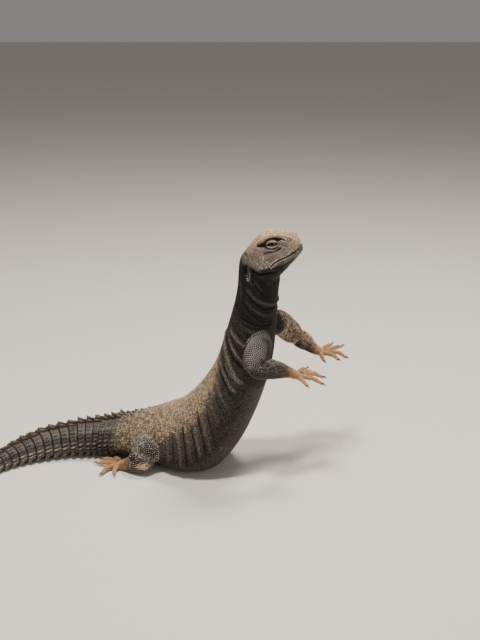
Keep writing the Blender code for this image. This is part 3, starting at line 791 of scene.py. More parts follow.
def get_material(name):
    """The named finish, made once."""
    if name in bpy.data.materials:
        return bpy.data.materials[name]
    scene = bpy.context.scene
    if name in MARKED_FINISHES:
        return marked_material(name, *MARKED_FINISHES[name])
    if name == "wet_eye":
        return eye_material(scene.lizard_body.eye_colour)
    if name == "claw_horn":
        return claw_material(scene.lizard_body.claw_colour)
    return floor_material(scene.lizard_stage.floor_colour)


# Markings, painted shade and painted highlights.

# Edges of the markings: places along the body, and degrees over the body's side there.
DARK_EDGE = [(0, -12), (1.1, 2), (1.8, 16), (2.8, 31), (4.5, 29), (5.5, 34), (6.2, 46), (6.5, 66), (7.1, 84),
             (8, 95), (13, 95)]
JAW_EDGE = [(11.8, 66), (12.3, 34), (12.85, 14), (13.35, 1), (14.4, -8), (15.35, -19), (16.35, -31),
            (17.2, -45), (18.2, -62), (19.2, -90)]
FLAP = [(11.5, 4), (11.9, 10), (12.3, 17), (12.65, 30)]


def speckle(point, pitch):
    """A smooth random value from -1 to 1 that changes over the given distance."""
    return noise.noise(Vector(point) / pitch)


def trunk_colour(at, angle, point, scales):
    """The animal's colour at a place of the trunk, neck or head, with painted shadow under the jaw."""
    lift = math.sin(angle)
    wobble = speckle(point, 11 * MM)
    back, flank = tuple(scales.back_colour), tuple(scales.flank_colour)
    throat, face, crown = tuple(scales.throat_colour), tuple(scales.face_colour), tuple(scales.crown_colour)
    height = math.degrees(math.asin(max(min(lift, 1), -1)))
    edge = along_line(DARK_EDGE, at) + 9 * wobble
    colour = mix(back, flank, smooth(edge + 10, edge - 8, height))
    colour = mix(colour, throat, smooth(edge - 8, edge - 40, height) * smooth(1.2, 2.6, at) * 0.8)
    colour = mix(colour, HIP_GREY, 0.7 * smooth(1.1, 0.0, at))
    belly = smooth(-4, -32, height) * (1 - smooth(5, 7, at))
    colour = mix(colour, mix(flank, throat, 0.7), belly)
    colour = mix(colour, throat, smooth(7.4, 8.8, at) * smooth(84, 60, height))
    jaw = smooth(-8, 6, height - along_line(JAW_EDGE, at) + 4 * wobble)
    head = smooth(11.9, 12.6, at + 0.15 * wobble) * jaw
    if head > 0:
        skin = mix(shaded(face, 0.7), face, smooth(12.4, 14.6, at))
        skin = mix(skin, crown, smooth(22, 52, height + 8 * wobble) * smooth(12.5, 14, at))
        skin = mix(skin, crown, 0.5 * smooth(18.5, 20.5, at) * smooth(-30, 0, height))
        # Darker under the jaw: the chin's own dark grey, partly painted shadow.
        skin = mix(skin, CHIN_GREY_AND_SHADE, 0.85 * smooth(-10, -30, height))
        colour = mix(colour, skin, head)
    flap = smooth(11.3, 11.7, at) * smooth(12.9, 12.5, at) * smooth(9, 3, abs(height - along_line(FLAP, at)))
    return mix(colour, EAR_FLAP, 0.8 * flap)


def fold_shade_and_highlight(colour, height, at):
    """Painted shade darkens the grooves of the skin and painted highlights lighten the crests of its folds;
    height is in millimetres.
    """
    if height < 0:
        return mix(colour, GROOVE_SHADE, (0.55 if at < 5 else 0.85) * min(-height / 1.8, 1))
    if at > 12.6:
        return mix(colour, shaded(colour, 1.6), 0.25 * min(height / 1.5, 1))
    if at > 8.4:
        return mix(colour, NECK_CREST_HIGHLIGHT, 0.85 * min(height / 2.3, 1) ** 1.6)
    return mix(colour, FLANK_CREST_HIGHLIGHT, (0.4 + 0.36 * smooth(5.6, 6.3, at)) * min(height / 1.5, 1))


def along_line(line, at):
    """A value between the (place, value) pairs of a line."""
    if at <= line[0][0]:
        return line[0][1]
    for (a, first), (b, second) in zip(line[:-1], line[1:]):
        if at <= b:
            return first + (second - first) * (at - a) / (b - a)
    return line[-1][1]


def limb_colour(name, at, angle, point, scales):
    """The colour of a limb: its length runs on from 0 at the root to 6 at the knuckles."""
    base, foot, throat = tuple(scales.limb_colour), tuple(scales.foot_colour), tuple(scales.throat_colour)
    mottle = speckle(point, 3.6 * MM)
    if name == "left_arm":
        fine = speckle(point, 2.1 * MM)
        colour = mix(LEFT_ARM_DARK, LEFT_ARM_TAN, smooth(-0.3, 0.4, fine + 0.6 * mottle))
    elif name == "right_arm":
        # Painted light on the upper arm: lighter where it faces up and out to the right, towards the camera
        # and lights, with painted shade towards its edges.
        outward = (Vector(point) - limb_middle(RIGHT_UPPER_ARM, at)).normalized()
        facing = smooth(0.5, 1.12, outward.dot(UP * 0.3 - LEFT))
        colour = mix(RIGHT_ARM_SHADE, RIGHT_ARM_LIT, facing)
        colour = mix(colour, FOREARM, smooth(1.9, 3.2, at))
        colour = mix(colour, FOREARM_PALE, 0.5 * smooth(0.1, 0.4, mottle) * smooth(2.5, 4.0, at))
    else:
        colour = mix(base, LEG_PALE, 0.34 * smooth(-0.2, 0.25, mottle))
        patch = Vector((-1, -71, 13)) - LIMB_ORIGIN
        gaps = [Vector(point) / MM - patch, Vector(point) / MM - mirrored(patch)]
        near = min(math.hypot(0.55 * gap.x, 0.5 * gap.y, 1.1 * gap.z) for gap in gaps)
        colour = mix(colour, LEG_PATCH, smooth(5, 3.6, near))
    if name.endswith("arm"):
        colour = mix(throat, colour, smooth(0.1, 0.9, at + 0.3 * mottle))
        colour = mix(colour, FOREARM_UNDER, 0.85 * underside(at, angle))
    return mix(colour, foot, smooth(5.0, 6.5, at + 0.7 * mottle))


def limb_middle(path, at):
    """The last of a limb's given middles before a place along it."""
    return Vector(path[min(int(at), len(path) - 1)][:3]) * MM - LIMB_ORIGIN * MM


def underside(at, angle):
    """1 under the forearms, which are darker there."""
    return smooth(0.1, -0.6, math.sin(angle)) * smooth(2.6, 3.4, at)


def mirrored(point):
    point = Vector(point)
    return point - LEFT * 2 * point.dot(LEFT)


def tail_colour(along, angle, tail):
    colour = tuple(tail.colour)
    lift = math.sin(angle)
    colour = mix(colour, (colour[0] * 2.6, colour[1] * 2.4, colour[2] * 2.3), smooth(0.78, 0.985, lift))
    pale = 2.2 + 2.6 * smooth(0.1, 0.45, along)
    colour = mix(colour, shaded(colour, pale), low_side(angle))
    return mix(colour, HIP_GREY, (1 - smooth(0.0, 0.05, along)) * smooth(-0.2, 0.6, lift))


# The skin's folds, grooves and swellings, as strokes over the body.

def head_strokes():
    """Each stroke: points behind the snout and over the head's line, width and height in mm."""
    mouth = MOUTH_LINE
    return [
        (mouth, 0.6, -1.5),
        (mouth[-2:], 0.9, -0.8),
        ([(b, h + 1.9) for b, h in mouth], 1.2, 0.7),
        ([(b, h - 2.1) for b, h in mouth], 1.4, 0.6),
        (BROW_LINE + [(5, 9)], 1.7, 2.0),
        ([(28.5, 15), (22.8, 16.6), (17.0, 15.0), (11.6, 11.8), (9.4, 9.8)], 1.2, -2.4),
        ([(27.4, 12.6), (31, 14.0), (34.2, 15.2)], 1.9, -3.6),
        ([(17.5, 14.2), (14, 13.0)], 1.6, -1.4),
        ([(31, 11), (34.5, 12.4), (38, 14)], 1.8, 1.1),
        ([(31.5, 5), (27.9, 4.6), (24.2, 3.8), (19.7, 3), (15.4, 4)], 0.85, -1.5),
        ([(29, 7.4), (25, 5.8), (20, 4.8), (15.5, 6.4)], 1.2, 0.9),
        ([(36, 1.5), (30, 0.8), (24, 0.2), (18, -0.8)], 2.2, 0.9),
        ([(24.6, 11.3), (18.4, 9.9)], 4.3, -2.2),
        ([NOSTRIL, (6.3, 6.9)], 0.85, -1.8),
        ([(7.0, 7.4), (6.4, 7.1)], 2.4, 1.0),
        ([(12, 11), (5, 8.6)], 2.0, 0.8),
        ([(12.5, 7.5), (9.5, 3.0)], 1.2, -0.6),
        ([(30, -16.8), (20, -14.5), (10, -11.5)], 1.8, -0.8),
    ]


def trunk_strokes():
    """Each stroke: places along the body and angles from the left side, width and height in mm."""
    found = [
        ([(11.75, 25), (12.3, 26)], 2.2, -4.4),
        ([(12.65, 30), (12.3, 15), (11.9, 9), (11.5, 3)], 1.5, 2.0),
        ([(12.75, 8), (12.35, 3), (11.95, -2)], 2.0, -2.2),
        ([(12.25, 3), (12.1, -8), (11.85, -20), (11.5, -34)], 1.2, 2.1),
        ([(12.0, -2), (11.8, -12), (11.55, -26), (11.25, -40)], 1.3, -1.9),
        ([(12.95, 32), (13.4, 13), (14.45, -6), (15.4, -25), (16.4, -44)], 2.1, 1.5),
        ([(12.7, 12), (13.2, -6), (14.25, -23), (15.2, -42), (16.2, -62)], 1.8, -2.5),
        ([(10.9, 18), (10.6, -2), (10.65, -30), (10.95, -64), (11.0, -88)], 1.5, 1.9),
        ([(10.55, 16), (10.25, -2), (10.3, -30), (10.55, -64), (10.6, -88)], 1.5, -1.9),
        ([(10.0, 24), (9.85, -5), (9.9, -35), (10.1, -75)], 1.6, 1.4),
        ([(9.7, 24), (9.5, -5), (9.55, -35), (9.7, -75)], 1.5, -1.5),
        ([(8.5, 36), (8.7, 0), (8.95, -34), (9.3, -76)], 1.6, 1.6),
        ([(8.85, 36), (9.05, 0), (9.3, -34), (9.6, -76)], 1.5, -1.7),
        ([(11.6, 62), (10.6, 46), (9.6, 40), (8.8, 44)], 1.8, -1.4),
        ([(11.3, 46), (10.4, 34), (9.6, 28)], 1.8, 1.3),
        ([(13.1, 40), (12.7, 62), (12.6, 88)], 1.6, -1.0),
        ([(1.95, 36), (1.7, 12), (1.85, -16)], 2.0, -1.8),
    ]
    found += [
        ([(7.42, 84), (7.25, 52), (7.05, 26), (6.92, 10), (6.88, -4), (6.98, -24)], 1.8, 1.6),
        ([(7.22, 60), (6.98, 38), (6.82, 26), (6.75, 14), (6.76, 2)], 0.9, 0.9),
        ([(6.95, 56), (6.75, 38), (6.64, 24), (6.62, 8)], 0.9, -1.4),
        ([(7.1, 44), (6.93, 28), (6.86, 10)], 0.8, -1.3),
        ([(6.66, 62), (6.52, 42), (6.5, 20), (6.47, 4), (6.52, -14)], 1.3, 1.3),
        ([(6.46, 52), (6.36, 32), (6.33, 16), (6.3, 0), (6.36, -16)], 1.3, -2.3),
        ([(7.48, 62), (7.33, 30), (7.28, 14), (7.33, 0), (7.4, -14)], 1.9, -2.4),
        ([(7.66, 46), (7.56, 26), (7.53, 12), (7.54, -2), (7.62, -20)], 0.95, 1.7),
        ([(7.8, 40), (7.72, 18), (7.76, -2)], 1.2, -1.6),
        ([(8.05, 50), (7.96, 34), (8.0, 18), (8.04, 4), (8.1, -12)], 1.3, 1.2),
        ([(8.26, 46), (8.2, 22), (8.27, -4)], 1.3, -1.4),
        ([(6.1, 40), (5.95, 22), (5.9, 6), (5.96, -12)], 1.6, 0.8),
        ([(5.8, 34), (5.7, 16), (5.66, 0), (5.7, -14)], 1.4, -1.0),
        ([(5.45, 26), (5.36, 10), (5.33, -8)], 1.6, 0.6),
    ]
    for number, at in enumerate((2.72, 3.35, 3.85, 4.3, 4.8)):
        high, low = 38 + 9 * math.sin(number * 2.7), -22 - 8 * math.sin(number * 1.7)
        line = [(at + 0.04, high), (at, 24), (at - 0.06, 8), (at - 0.16, -8), (at - 0.3, low)]
        found.append((line, 1.6, 0.9 + 0.4 * (number % 2)))
        beside = 0.26 + 0.05 * math.sin(number * 3.1)
        found.append(([(a + beside, g - 3) for a, g in line], 1.4, -1.6 - 0.3 * (number % 2)))
    return found


def fold_lines():
    """Every stroke on both sides: points close together, width and height in mm, fading ends."""
    depth = bpy.context.scene.lizard_body.fold_depth
    lines = []
    for way in (1, -1):
        for points, width, height in head_strokes():
            lines.append((dense_line([on_head(b, h, way) for b, h in points]), width, height, 0))
        for points, width, height in trunk_strokes():
            angles = [(at, math.radians(g if way > 0 else 180 - g)) for at, g in points]
            line = dense_line([body_point(at, a) for at, a in angles])
            fade = 8 * MM if np.linalg.norm(line[0] - line[-1]) > 15 * MM else 0
            lines.append((line, width, height * depth, fade))
    return lines


def fold_heights(places, lines):
    """How far, in millimetres, the strokes lift or press the skin at each of the places."""
    moved = np.zeros(len(places))
    for points, width, height, fade in lines:
        centre = points.mean(axis=0)
        reach = np.linalg.norm(points - centre, axis=1).max() + width * 3 * MM
        near = np.nonzero(((places - centre) ** 2).sum(axis=1) < reach ** 2)[0]
        if not len(near):
            continue
        gaps = np.full(len(near), 1e9)
        reached = np.zeros(len(near))
        travelled = 0.0
        for start, end in zip(points[:-1], points[1:]):
            along = end - start
            part = np.clip(((places[near] - start) @ along) / (along @ along + 1e-18), 0, 1)
            offset = ((places[near] - start - part[:, None] * along) ** 2).sum(axis=1)
            length = np.linalg.norm(along)
            reached = np.where(offset < gaps, travelled + part * length, reached)
            gaps = np.minimum(gaps, offset)
            travelled += length
        lift = height * np.exp(-gaps / (width * MM) ** 2)
        if fade:
            left = np.clip(np.minimum(reached, travelled - reached) / fade, 0, 1)
            lift *= left * left * (3 - 2 * left)
        moved[near] += lift
    return moved


def carve(mesh):
    """Moves the skin along its normals under all the strokes."""
    places = vertex_array(mesh)
    normals = vertex_array(mesh, "normal")
    moved = fold_heights(places, fold_lines())
    places += normals * moved[:, None] * MM
    mesh.vertices.foreach_set("co", places.ravel())
    mesh.update()


def dense_line(points):
    """More points along a smooth line through the given ones."""
    count = (len(points) - 1) * 5
    return np.array([tuple(cubic(points, (len(points) - 1) * i / count)) for i in range(count + 1)])


# The skin.

def trunk_stations():
    """Rows of the skin's grid, closer together on the head."""
    return steps(0, 8, 120)[:-1] + steps(8, 12, 66)[:-1] + steps(12, 14, 34)[:-1] + steps(14, LAST_RING, 92)


def make_trunk_skin():
    inset = -bpy.context.scene.lizard_body.skin_inset
    sections = {}

    def point(at, angle):
        if at not in sections:
            sections[at] = section(at)
        return on_section(sections[at], angle, inset)

    skin = to_object("skin", tube(trunk_stations(), BODY_SIDES, point))
    carve(skin.data)
    return skin


def make_tail_core():
    inset = bpy.context.scene.lizard_body.skin_inset

    def point(along, angle):
        size = 0.86 if along < 0.985 else 0.5
        if along < 0:
            return tail_point(0, angle, 0.9) - TAIL_LINE[0][1] * 14 * MM
        return tail_point(along, angle, size, -inset)

    return to_object("tail_core", tube([-0.1] + steps(0, 1, 90), 56, point))


def knuckles(at):
    """Digits swell a little at each joint."""
    return 1.0 + 0.09 * math.cos(2 * math.pi * at * 1.5) * (1 if at < 1.9 else 0)


def rounded_start(length):
    """Places of the rings that round off the start of a tube, closest together at its tip."""
    return [length * (1 - math.cos(math.radians(a))) for a in range(0, 90, 10)]


def rounded_end(end, length, step):
    """The same for the end of a tube, with so many degrees between the rings."""
    return [end - length * (1 - math.cos(math.radians(a))) for a in range(90, -1, -step)]


def make_limb_skins():
    inset = -bpy.context.scene.lizard_body.skin_inset
    parts = []
    for name, (upper_path, lower_path, digits) in LIMBS.items():
        for word, path, caps, rows, step in (
                ("upper", upper_path, UPPER_CAPS, 20, 10), ("lower", lower_path, LOWER_CAPS, 44, 15)):
            member = limb(path)
            first, last = caps[0], member["last"] - caps[1]
            places = rounded_start(first) + steps(first, last, rows)[:-1]
            places += rounded_end(member["last"], caps[1], step)
            shape = tube(places, LIMB_SIDES, limb_point(member, inset, *caps))
            parts.append(to_object(f"{word}_{name}", shape))
        if name.endswith("leg"):
            hollow = Vector(KNEE_HOLLOW[:3]) - LIMB_ORIGIN
            hollow = (hollow if name == "right_leg" else mirrored(hollow)) * MM
            ball = bmesh.new()
            bmesh.ops.create_uvsphere(ball, u_segments=32, v_segments=20, radius=KNEE_HOLLOW[3] * MM)
            bmesh.ops.translate(ball, verts=ball.verts, vec=hollow)
            parts.append(to_object(f"knee_{name}", ball))
        for digit in digits:
            member = digit_limb(digit)
            places = steps(0, 1.6, 22)[:-1] + rounded_end(2, 0.4, 18)
            surface = limb_point(member, inset * 0.5, 0, 0.4, knuckles)
            parts.append(to_object("digit", tube(places, DIGIT_SIDES, surface)))
    return parts


def soften_joins(skin, first, second, reach, rounds):
    """Smooths the skin where it lies near both of two surfaces, such as a limb and the trunk."""
    shape = bmesh.new()
    shape.from_mesh(skin.data)
    near = []
    for vert in shape.verts:
        if first.find_nearest(vert.co, reach)[0] and second.find_nearest(vert.co, reach)[0]:
            near.append(vert)
    for _ in range(rounds):
        bmesh.ops.smooth_vert(
            shape, verts=near, factor=0.5, use_axis_x=True, use_axis_y=True, use_axis_z=True)
    shape.to_mesh(skin.data)
    shape.free()


def tree_of(*objects):
    """One search tree over the surfaces of several objects."""
    shape = bmesh.new()
    for obj in objects:
        shape.from_mesh(obj.data)
    tree = BVHTree.FromBMesh(shape)
    shape.free()
    return tree


def colour_samples():
    """Places over the whole animal with the colour of its markings there, with painted shade and highlights.
    """
    scene = bpy.context.scene
    scales, tail = scene.lizard_scales, scene.lizard_tail
    found = []
    places = []
    for at in steps(0, LAST_RING, 260):
        here = section(at)
        for angle in angles_round(100):
            places.append((at, angle, on_section(here, angle)))
    heights = fold_heights(np.array([tuple(p[2]) for p in places]), fold_lines())
    for (at, angle, point), height in zip(places, heights):
        # Painted shade in the grooves of the folds and painted highlights on their crests.
        found.append((point, fold_shade_and_highlight(trunk_colour(at, angle, point, scales), height, at)))
    for name, (upper_path, lower_path, digits) in LIMBS.items():
        for path, first in ((upper_path, 0.0), (lower_path, 3.0)):
            member = limb(path)
            surface = limb_point(member)
            for at in steps(0.1, member["last"], 40):
                for angle in angles_round(24):
                    point = surface(at, angle)
                    colour = limb_colour(name, first + at, angle, point, scales)
                    gap = 0.8 - 0.6 * smooth(5, 6.5, first + at) - 0.3 * (name == "left_arm")
                    found.append((point, mix(colour, SCALE_GAP, gap)))
        for digit in digits:
            surface = limb_point(digit_limb(digit))
            for at in steps(0.2, 2, 12):
                for j in range(8):
                    point = surface(at, math.pi * j / 4)
                    found.append((point, limb_colour(name, 8, 0, point, scales)))
    for along in steps(0.01, 1, 110):
        for angle in angles_round(36):
            point = tail_point(along, angle, 1)
            found.append((point, tail_colour(along, angle, tail)))
    return found


def rest_on_floor(mesh, lowest):
    """Flattens what would lie under the lowest level."""
    places = vertex_array(mesh)
    places[:, 2] = np.maximum(places[:, 2], lowest)
    mesh.vertices.foreach_set("co", places.ravel())
    mesh.update()


def paint_skin(skin):
    samples = colour_samples()
    tree = kdtree.KDTree(len(samples))
    for number, sample in enumerate(samples):
        tree.insert(sample[0], number)
    tree.balance()
    places = vertex_array(skin.data)
    colours = np.array([samples[tree.find(p)[1]][1] for p in places])
    paint(skin.data, colours)


FLESH = ["head", "neck", "chest", "belly", "pelvis", "tail_1", "tail_2", "tail_3", "tail_4"]
for limb_name in LIMBS:
    limb_side, limb_kind = limb_name.split("_")
    FLESH += [f"{limb_side}_{word}" for word in NODE_WORDS[limb_kind]]


class LIZARD_OT_skin(bpy.types.Operator):
    """One skin from the snout to the tip of the tail, with its folds, its markings, and painted shade and
    highlights on the folds
    """
    bl_idname = "lizard.skin"
    bl_label = "Skin"

    def execute(self, context):
        skin = make_trunk_skin()
        trunk_tree = tree_of(skin)
        parts = make_limb_skins()
        parts_tree = tree_of(*parts)
        thighs = tree_of(*[part for part in parts if part.name in ("upper_right_leg", "upper_left_leg")])
        shanks = tree_of(*[part for part in parts if part.name in ("lower_right_leg", "lower_left_leg")])
        united(skin, parts + [make_tail_core()])
        soften_joins(skin, trunk_tree, parts_tree, 4.5 * MM, 10)
        soften_joins(skin, thighs, shanks, 8 * MM, 40)
        paint_skin(skin)
        rest_on_floor(skin.data, SKIN_LIFT)
        for face in skin.data.polygons:
            face.use_smooth = True
        finish_piece(skin, FLESH, get_material("scaly_skin"))
        return {"FINISHED"}


# Scales: small shapes set on points of the skin.

# Each shape of scale: its sides, the half width of its top, and its peak's place along X and height.
SCALE_SHAPES = {
    "dome": (6, 0.66, 0.0, 0.95),
    "keeled": (6, 0.5, 0.42, 1.15),
    "plate": (6, 0.8, 0.0, 0.72),
    "cone": (7, 0.5, 0.85, 2.4),
    "fin": (10, 0.9, 0.72, 2.2),
}


def scale_shape(kind):
    """One scale of about unit half width, its tip towards +X, sunk a little below Z = 0."""
    shape = bmesh.new()
    sides, upper, peak_place, peak_height = SCALE_SHAPES[kind]
    bmesh.ops.create_cone(shape, cap_ends=True, segments=sides, radius1=1, radius2=upper, depth=1)
    top = max(shape.faces, key=lambda f: f.calc_center_median().z)
    middle = bmesh.ops.poke(shape, faces=[top])["verts"][0]
    for vert in shape.verts:
        vert.co.z = -0.35 if vert.co.z < 0 else 0.62
    middle.co.x, middle.co.z = peak_place, peak_height
    outer = [vert for vert in shape.verts if vert is not middle]
    shoulder = [vert for vert in outer if vert.co.z > 0]
    if kind == "keeled":
        for vert in outer:
            vert.co.x *= 1.2
        for vert in shoulder:
            vert.co.z = 0.25 + 0.3 * (vert.co.x + 1) / 2
    if kind == "cone":
        for vert in shoulder:
            vert.co.z = 0.8
            vert.co.x += 0.2
    if kind == "fin":
        for vert in shoulder:
            vert.co = (0.3 + 0.62 * vert.co.x, 0.62 * vert.co.y, 1.15)
    bmesh.ops.recalc_face_normals(shape, faces=shape.faces)
    return to_object(f"shape_{kind}", shape)


def scatter_tree():
    """Geometry nodes that set one shape on every point, turned and sized by the point."""
    if "scatter" in bpy.data.node_groups:
        return bpy.data.node_groups["scatter"]
    tree = bpy.data.node_groups.new("scatter", "GeometryNodeTree")
    tree.interface.new_socket(name="Geometry", in_out="INPUT", socket_type="NodeSocketGeometry")
    tree.interface.new_socket(name="Shape", in_out="INPUT", socket_type="NodeSocketObject")
    tree.interface.new_socket(name="Geometry", in_out="OUTPUT", socket_type="NodeSocketGeometry")
    nodes, links = tree.nodes, tree.links
    start, end = nodes.new("NodeGroupInput"), nodes.new("NodeGroupOutput")
    shape = nodes.new("GeometryNodeObjectInfo")
    spread = nodes.new("GeometryNodeInstanceOnPoints")
    for name, kind, socket in (("turn", "QUATERNION", "Rotation"), ("size", "FLOAT_VECTOR", "Scale")):
        value = nodes.new("GeometryNodeInputNamedAttribute")
        value.data_type = kind
        value.inputs["Name"].default_value = name
        links.new(value.outputs["Attribute"], spread.inputs[socket])
    solid = nodes.new("GeometryNodeRealizeInstances")
    links.new(start.outputs["Geometry"], spread.inputs["Points"])
    links.new(start.outputs["Shape"], shape.inputs["Object"])
    links.new(shape.outputs["Geometry"], spread.inputs["Instance"])
    links.new(spread.outputs["Instances"], solid.inputs["Geometry"])
    links.new(solid.outputs["Geometry"], end.inputs["Geometry"])
    return tree


def coat_piece(name, shape, scales, material):
    """Sets the shape on all the given places and makes them one mesh."""
    count = len(scales)
    mesh = bpy.data.meshes.new(name)
    mesh.vertices.add(count)
    mesh.vertices.foreach_set("co", np.array([tuple(s["at"]) for s in scales]).ravel())
    for key, kind, field in (("turn", "QUATERNION", "value"), ("size", "FLOAT_VECTOR", "vector"),
                             ("uv", "FLOAT2", "vector")):
        layer = mesh.attributes.new("root" if key == "uv" else key, kind, "POINT")
        layer.data.foreach_set(field, np.array([tuple(s[key]) for s in scales]).ravel())
    markings_and_light = mesh.attributes.new("markings_and_light", "FLOAT_COLOR", "POINT")
    markings_and_light.data.foreach_set("color", np.array([(*s["colour"], 1) for s in scales]).ravel())
    obj = bpy.data.objects.new(name, mesh)
    bpy.context.scene.collection.objects.link(obj)
    patch = shape.data.attributes.get("patch")
    if not patch:
        patch = shape.data.attributes.new("patch", "FLOAT2", "POINT")
        flat = vertex_array(shape.data)[:, :2]
        span = max(np.abs(flat).max(), 1e-6)
        patch.data.foreach_set("vector", (flat / span * BAKE_PATCH / 2).ravel())
    modifier = obj.modifiers.new("scatter", "NODES")
    modifier.node_group = scatter_tree()
    modifier[modifier.node_group.interface.items_tree["Shape"].identifier] = shape
    applied(obj)
    made = obj.data
    spots = np.zeros((2, len(made.vertices) * 2))
    for values, attribute in zip(spots, ("root", "patch")):
        made.attributes[attribute].data.foreach_get("vector", values)
    corners = np.zeros(len(made.loops), dtype=np.int32)
    made.loops.foreach_get("vertex_index", corners)
    layer = made.uv_layers.new(name="OFBake")
    layer.data.foreach_set("uv", spots.sum(axis=0).reshape(-1, 2)[corners].ravel())
    for spare in ("root", "patch", "turn", "size"):
        if spare in made.attributes:
            made.attributes.remove(made.attributes[spare])
    finish_piece(obj, [], get_material(material))
    return obj


def coat_pieces(name, shape, scales, material):
    """As many coat pieces as the limit on one piece's triangles asks for."""
    shape.data.calc_loop_triangles()
    limit = PIECE_TRIANGLES // max(len(shape.data.loop_triangles), 1)
    count = max(1, math.ceil(len(scales) / limit))
    each = math.ceil(len(scales) / count)
    for number in range(count):
        part = scales[number * each:(number + 1) * each]
        if part:
            coat_piece(f"{name}_{number + 1}", shape, part, material)


def bake_spot(along, angle):
    """A place of the map for baking, from a place along it and an angle round the body."""
    return along, 0.01 + 0.98 * angle / (2 * math.pi)


def tail_bake_spot(along, angle):
    return bake_spot(0.02 + 0.9 * along, angle)


def set_scale(found, tree, point, behind, size, colour, uv, reach, chance):
    """Adds a scale on the skin nearest to a point, its tip turned behind, where there is room."""
    place, normal = tree.find_nearest(point, reach)[:2]
    if place is None or place.z < SKIN_LIFT + FLOOR_MARGIN or place.z + normal.z * size[2] < 0:
        return
    back = behind - normal * behind.dot(normal)
    if back.length < 1e-9:
        return
    back.normalize()
    across = normal.cross(back)
    turn = Matrix((back, across, normal)).transposed().to_quaternion()
    turn = turn @ Quaternion((0, 0, 1), chance.uniform(-0.2, 0.2))
    tint = chance.uniform(0.78, 1.2)
    found.append({"at": place - normal * 0.1 * size[2], "turn": turn, "size": size,
                  "colour": shaded(colour, tint), "uv": uv})


def ring_spots(points, pitches, shift):
    """Evenly spaced places round a closed ring, by the distance wanted at each of its points."""
    total = len(points)
    steps_round = [0.0]
    for j in range(total):
        length = (points[(j + 1) % total] - points[j]).length
        steps_round.append(steps_round[-1] + length / pitches[j])
    count = max(int(round(steps_round[-1])), 3)
    spots = []
    j = 0
    for k in range(count):
        wanted = (k + shift) * steps_round[-1] / count
        if wanted >= steps_round[-1]:
            wanted -= steps_round[-1]
            j = 0
        while steps_round[j + 1] < wanted:
            j += 1
        part = (wanted - steps_round[j]) / max(steps_round[j + 1] - steps_round[j], 1e-12)
        spots.append((points[j].lerp(points[(j + 1) % total], part), 2 * math.pi * (j + part) / total))
    return spots


def rows_along(start, end, length_of, pitch_of):
    """Places from start to end so that rows lie a scale's length apart."""
    places = [start]
    while places[-1] < end:
        here = places[-1]
        ahead = 0.02
        speed = length_of(here, here + ahead) / ahead
        places.append(here + pitch_of(here) / max(speed, 1e-6))
    return places[:-1]


def trunk_pitch(at, angle, scales):
    """Distance between scales: small on throat and flanks, larger on crown, belly and nape."""
    lift = math.sin(angle)
    size = scales.trunk_pitch
    size *= 1 + 0.12 * smooth(0.3, 0.9, lift) + 0.22 * smooth(-0.6, -0.9, lift) * (1 - smooth(5, 8, at))
    size *= 1 - 0.28 * smooth(8, 10, at)
    head = smooth(12.6, 13.6, at)
    top = scales.head_pitch * (0.92 + 0.32 * smooth(0.55, 0.9, lift) + 0.34 * smooth(0.05, -0.3, lift))
    top *= 1 - 0.25 * smooth(19, 22, at)
    return size * (1 - head) + top * head


def bare_places():
    """The middles of eyes and ears, and points along both sides of the mouth."""
    eyes = [in_head(EYE_BEHIND_SNOUT, way * EYE_TO_MIDDLE, EYE_HEIGHT) for way in (1, -1)]
    mouth = np.vstack([dense_line([on_head(b, h, way) for b, h in MOUTH_LINE]) for way in (1, -1)])
    ears = [body_point(EAR_PLACE, math.radians(g)) for g in (EAR_ANGLE, 180 - EAR_ANGLE)]
    return eyes, mouth, ears


def is_bare(at, point, bare):
    """Whether a place lies on an eye, in the mouth or in an ear."""
    eyes, mouth, ears = bare
    if at > 14 and min((point - eye).length for eye in eyes) < EYE_CLEARANCE:
        return True
    if at > 13 and np.abs(mouth - np.array(point)).max(axis=1).min() < MOUTH_CLEARANCE:
        return True
    return 11.4 < at < 12.7 and min((point - ear).length for ear in ears) < EAR_CLEARANCE


def trunk_spots(start, end, scales):
    """Places of the scales over a stretch of trunk, neck or head, and the way behind each."""

    def length_of(a, b):
        return max((section(b)[0] - section(a)[0]).length,
                   0.62 * (body_point(b, math.pi * 1.5) - body_point(a, math.pi * 1.5)).length)

    rows = rows_along(start, end, length_of, lambda at: trunk_pitch(at, math.pi, scales) * 0.88)
    bare = bare_places()
    angles = angles_round(120)
    spots = []
    for number, at in enumerate(rows):
        here, behind_here = section(at), section(max(at - 0.05, 0))
        points = [on_section(here, a) for a in angles]
        pitches = [trunk_pitch(at, a, scales) for a in angles]
        for point, angle in ring_spots(points, pitches, 0.5 * (number % 2)):
            if is_bare(at, point, bare):
                continue
            behind = (on_section(behind_here, angle) - point) if at > 0.05 else -FORWARD
            if at > HEAD_SCALES_START:
                behind = point - on_section(section(min(at + 0.05, LAST_RING)), angle)
            spots.append((at, angle, point, behind))
    if end > LAST_RING - 0.1:
        spots += snout_spots()
    return spots


def trunk_scale_form(at, lift, pitch):
    """Shape and height of the scales at a place: flat on belly, crown and snout, else domed."""
    if at < 7 and lift < -0.55:
        return "plate", pitch * 0.2
    if at > 13.3 and lift > 0.3:
        return "plate", pitch * 0.3
    if 12.6 < at < 16.6 and lift < 0.1:
        return "dome", pitch * 0.55
    if at > 15:
        return "plate", pitch * 0.32
    return "dome", pitch * 0.42


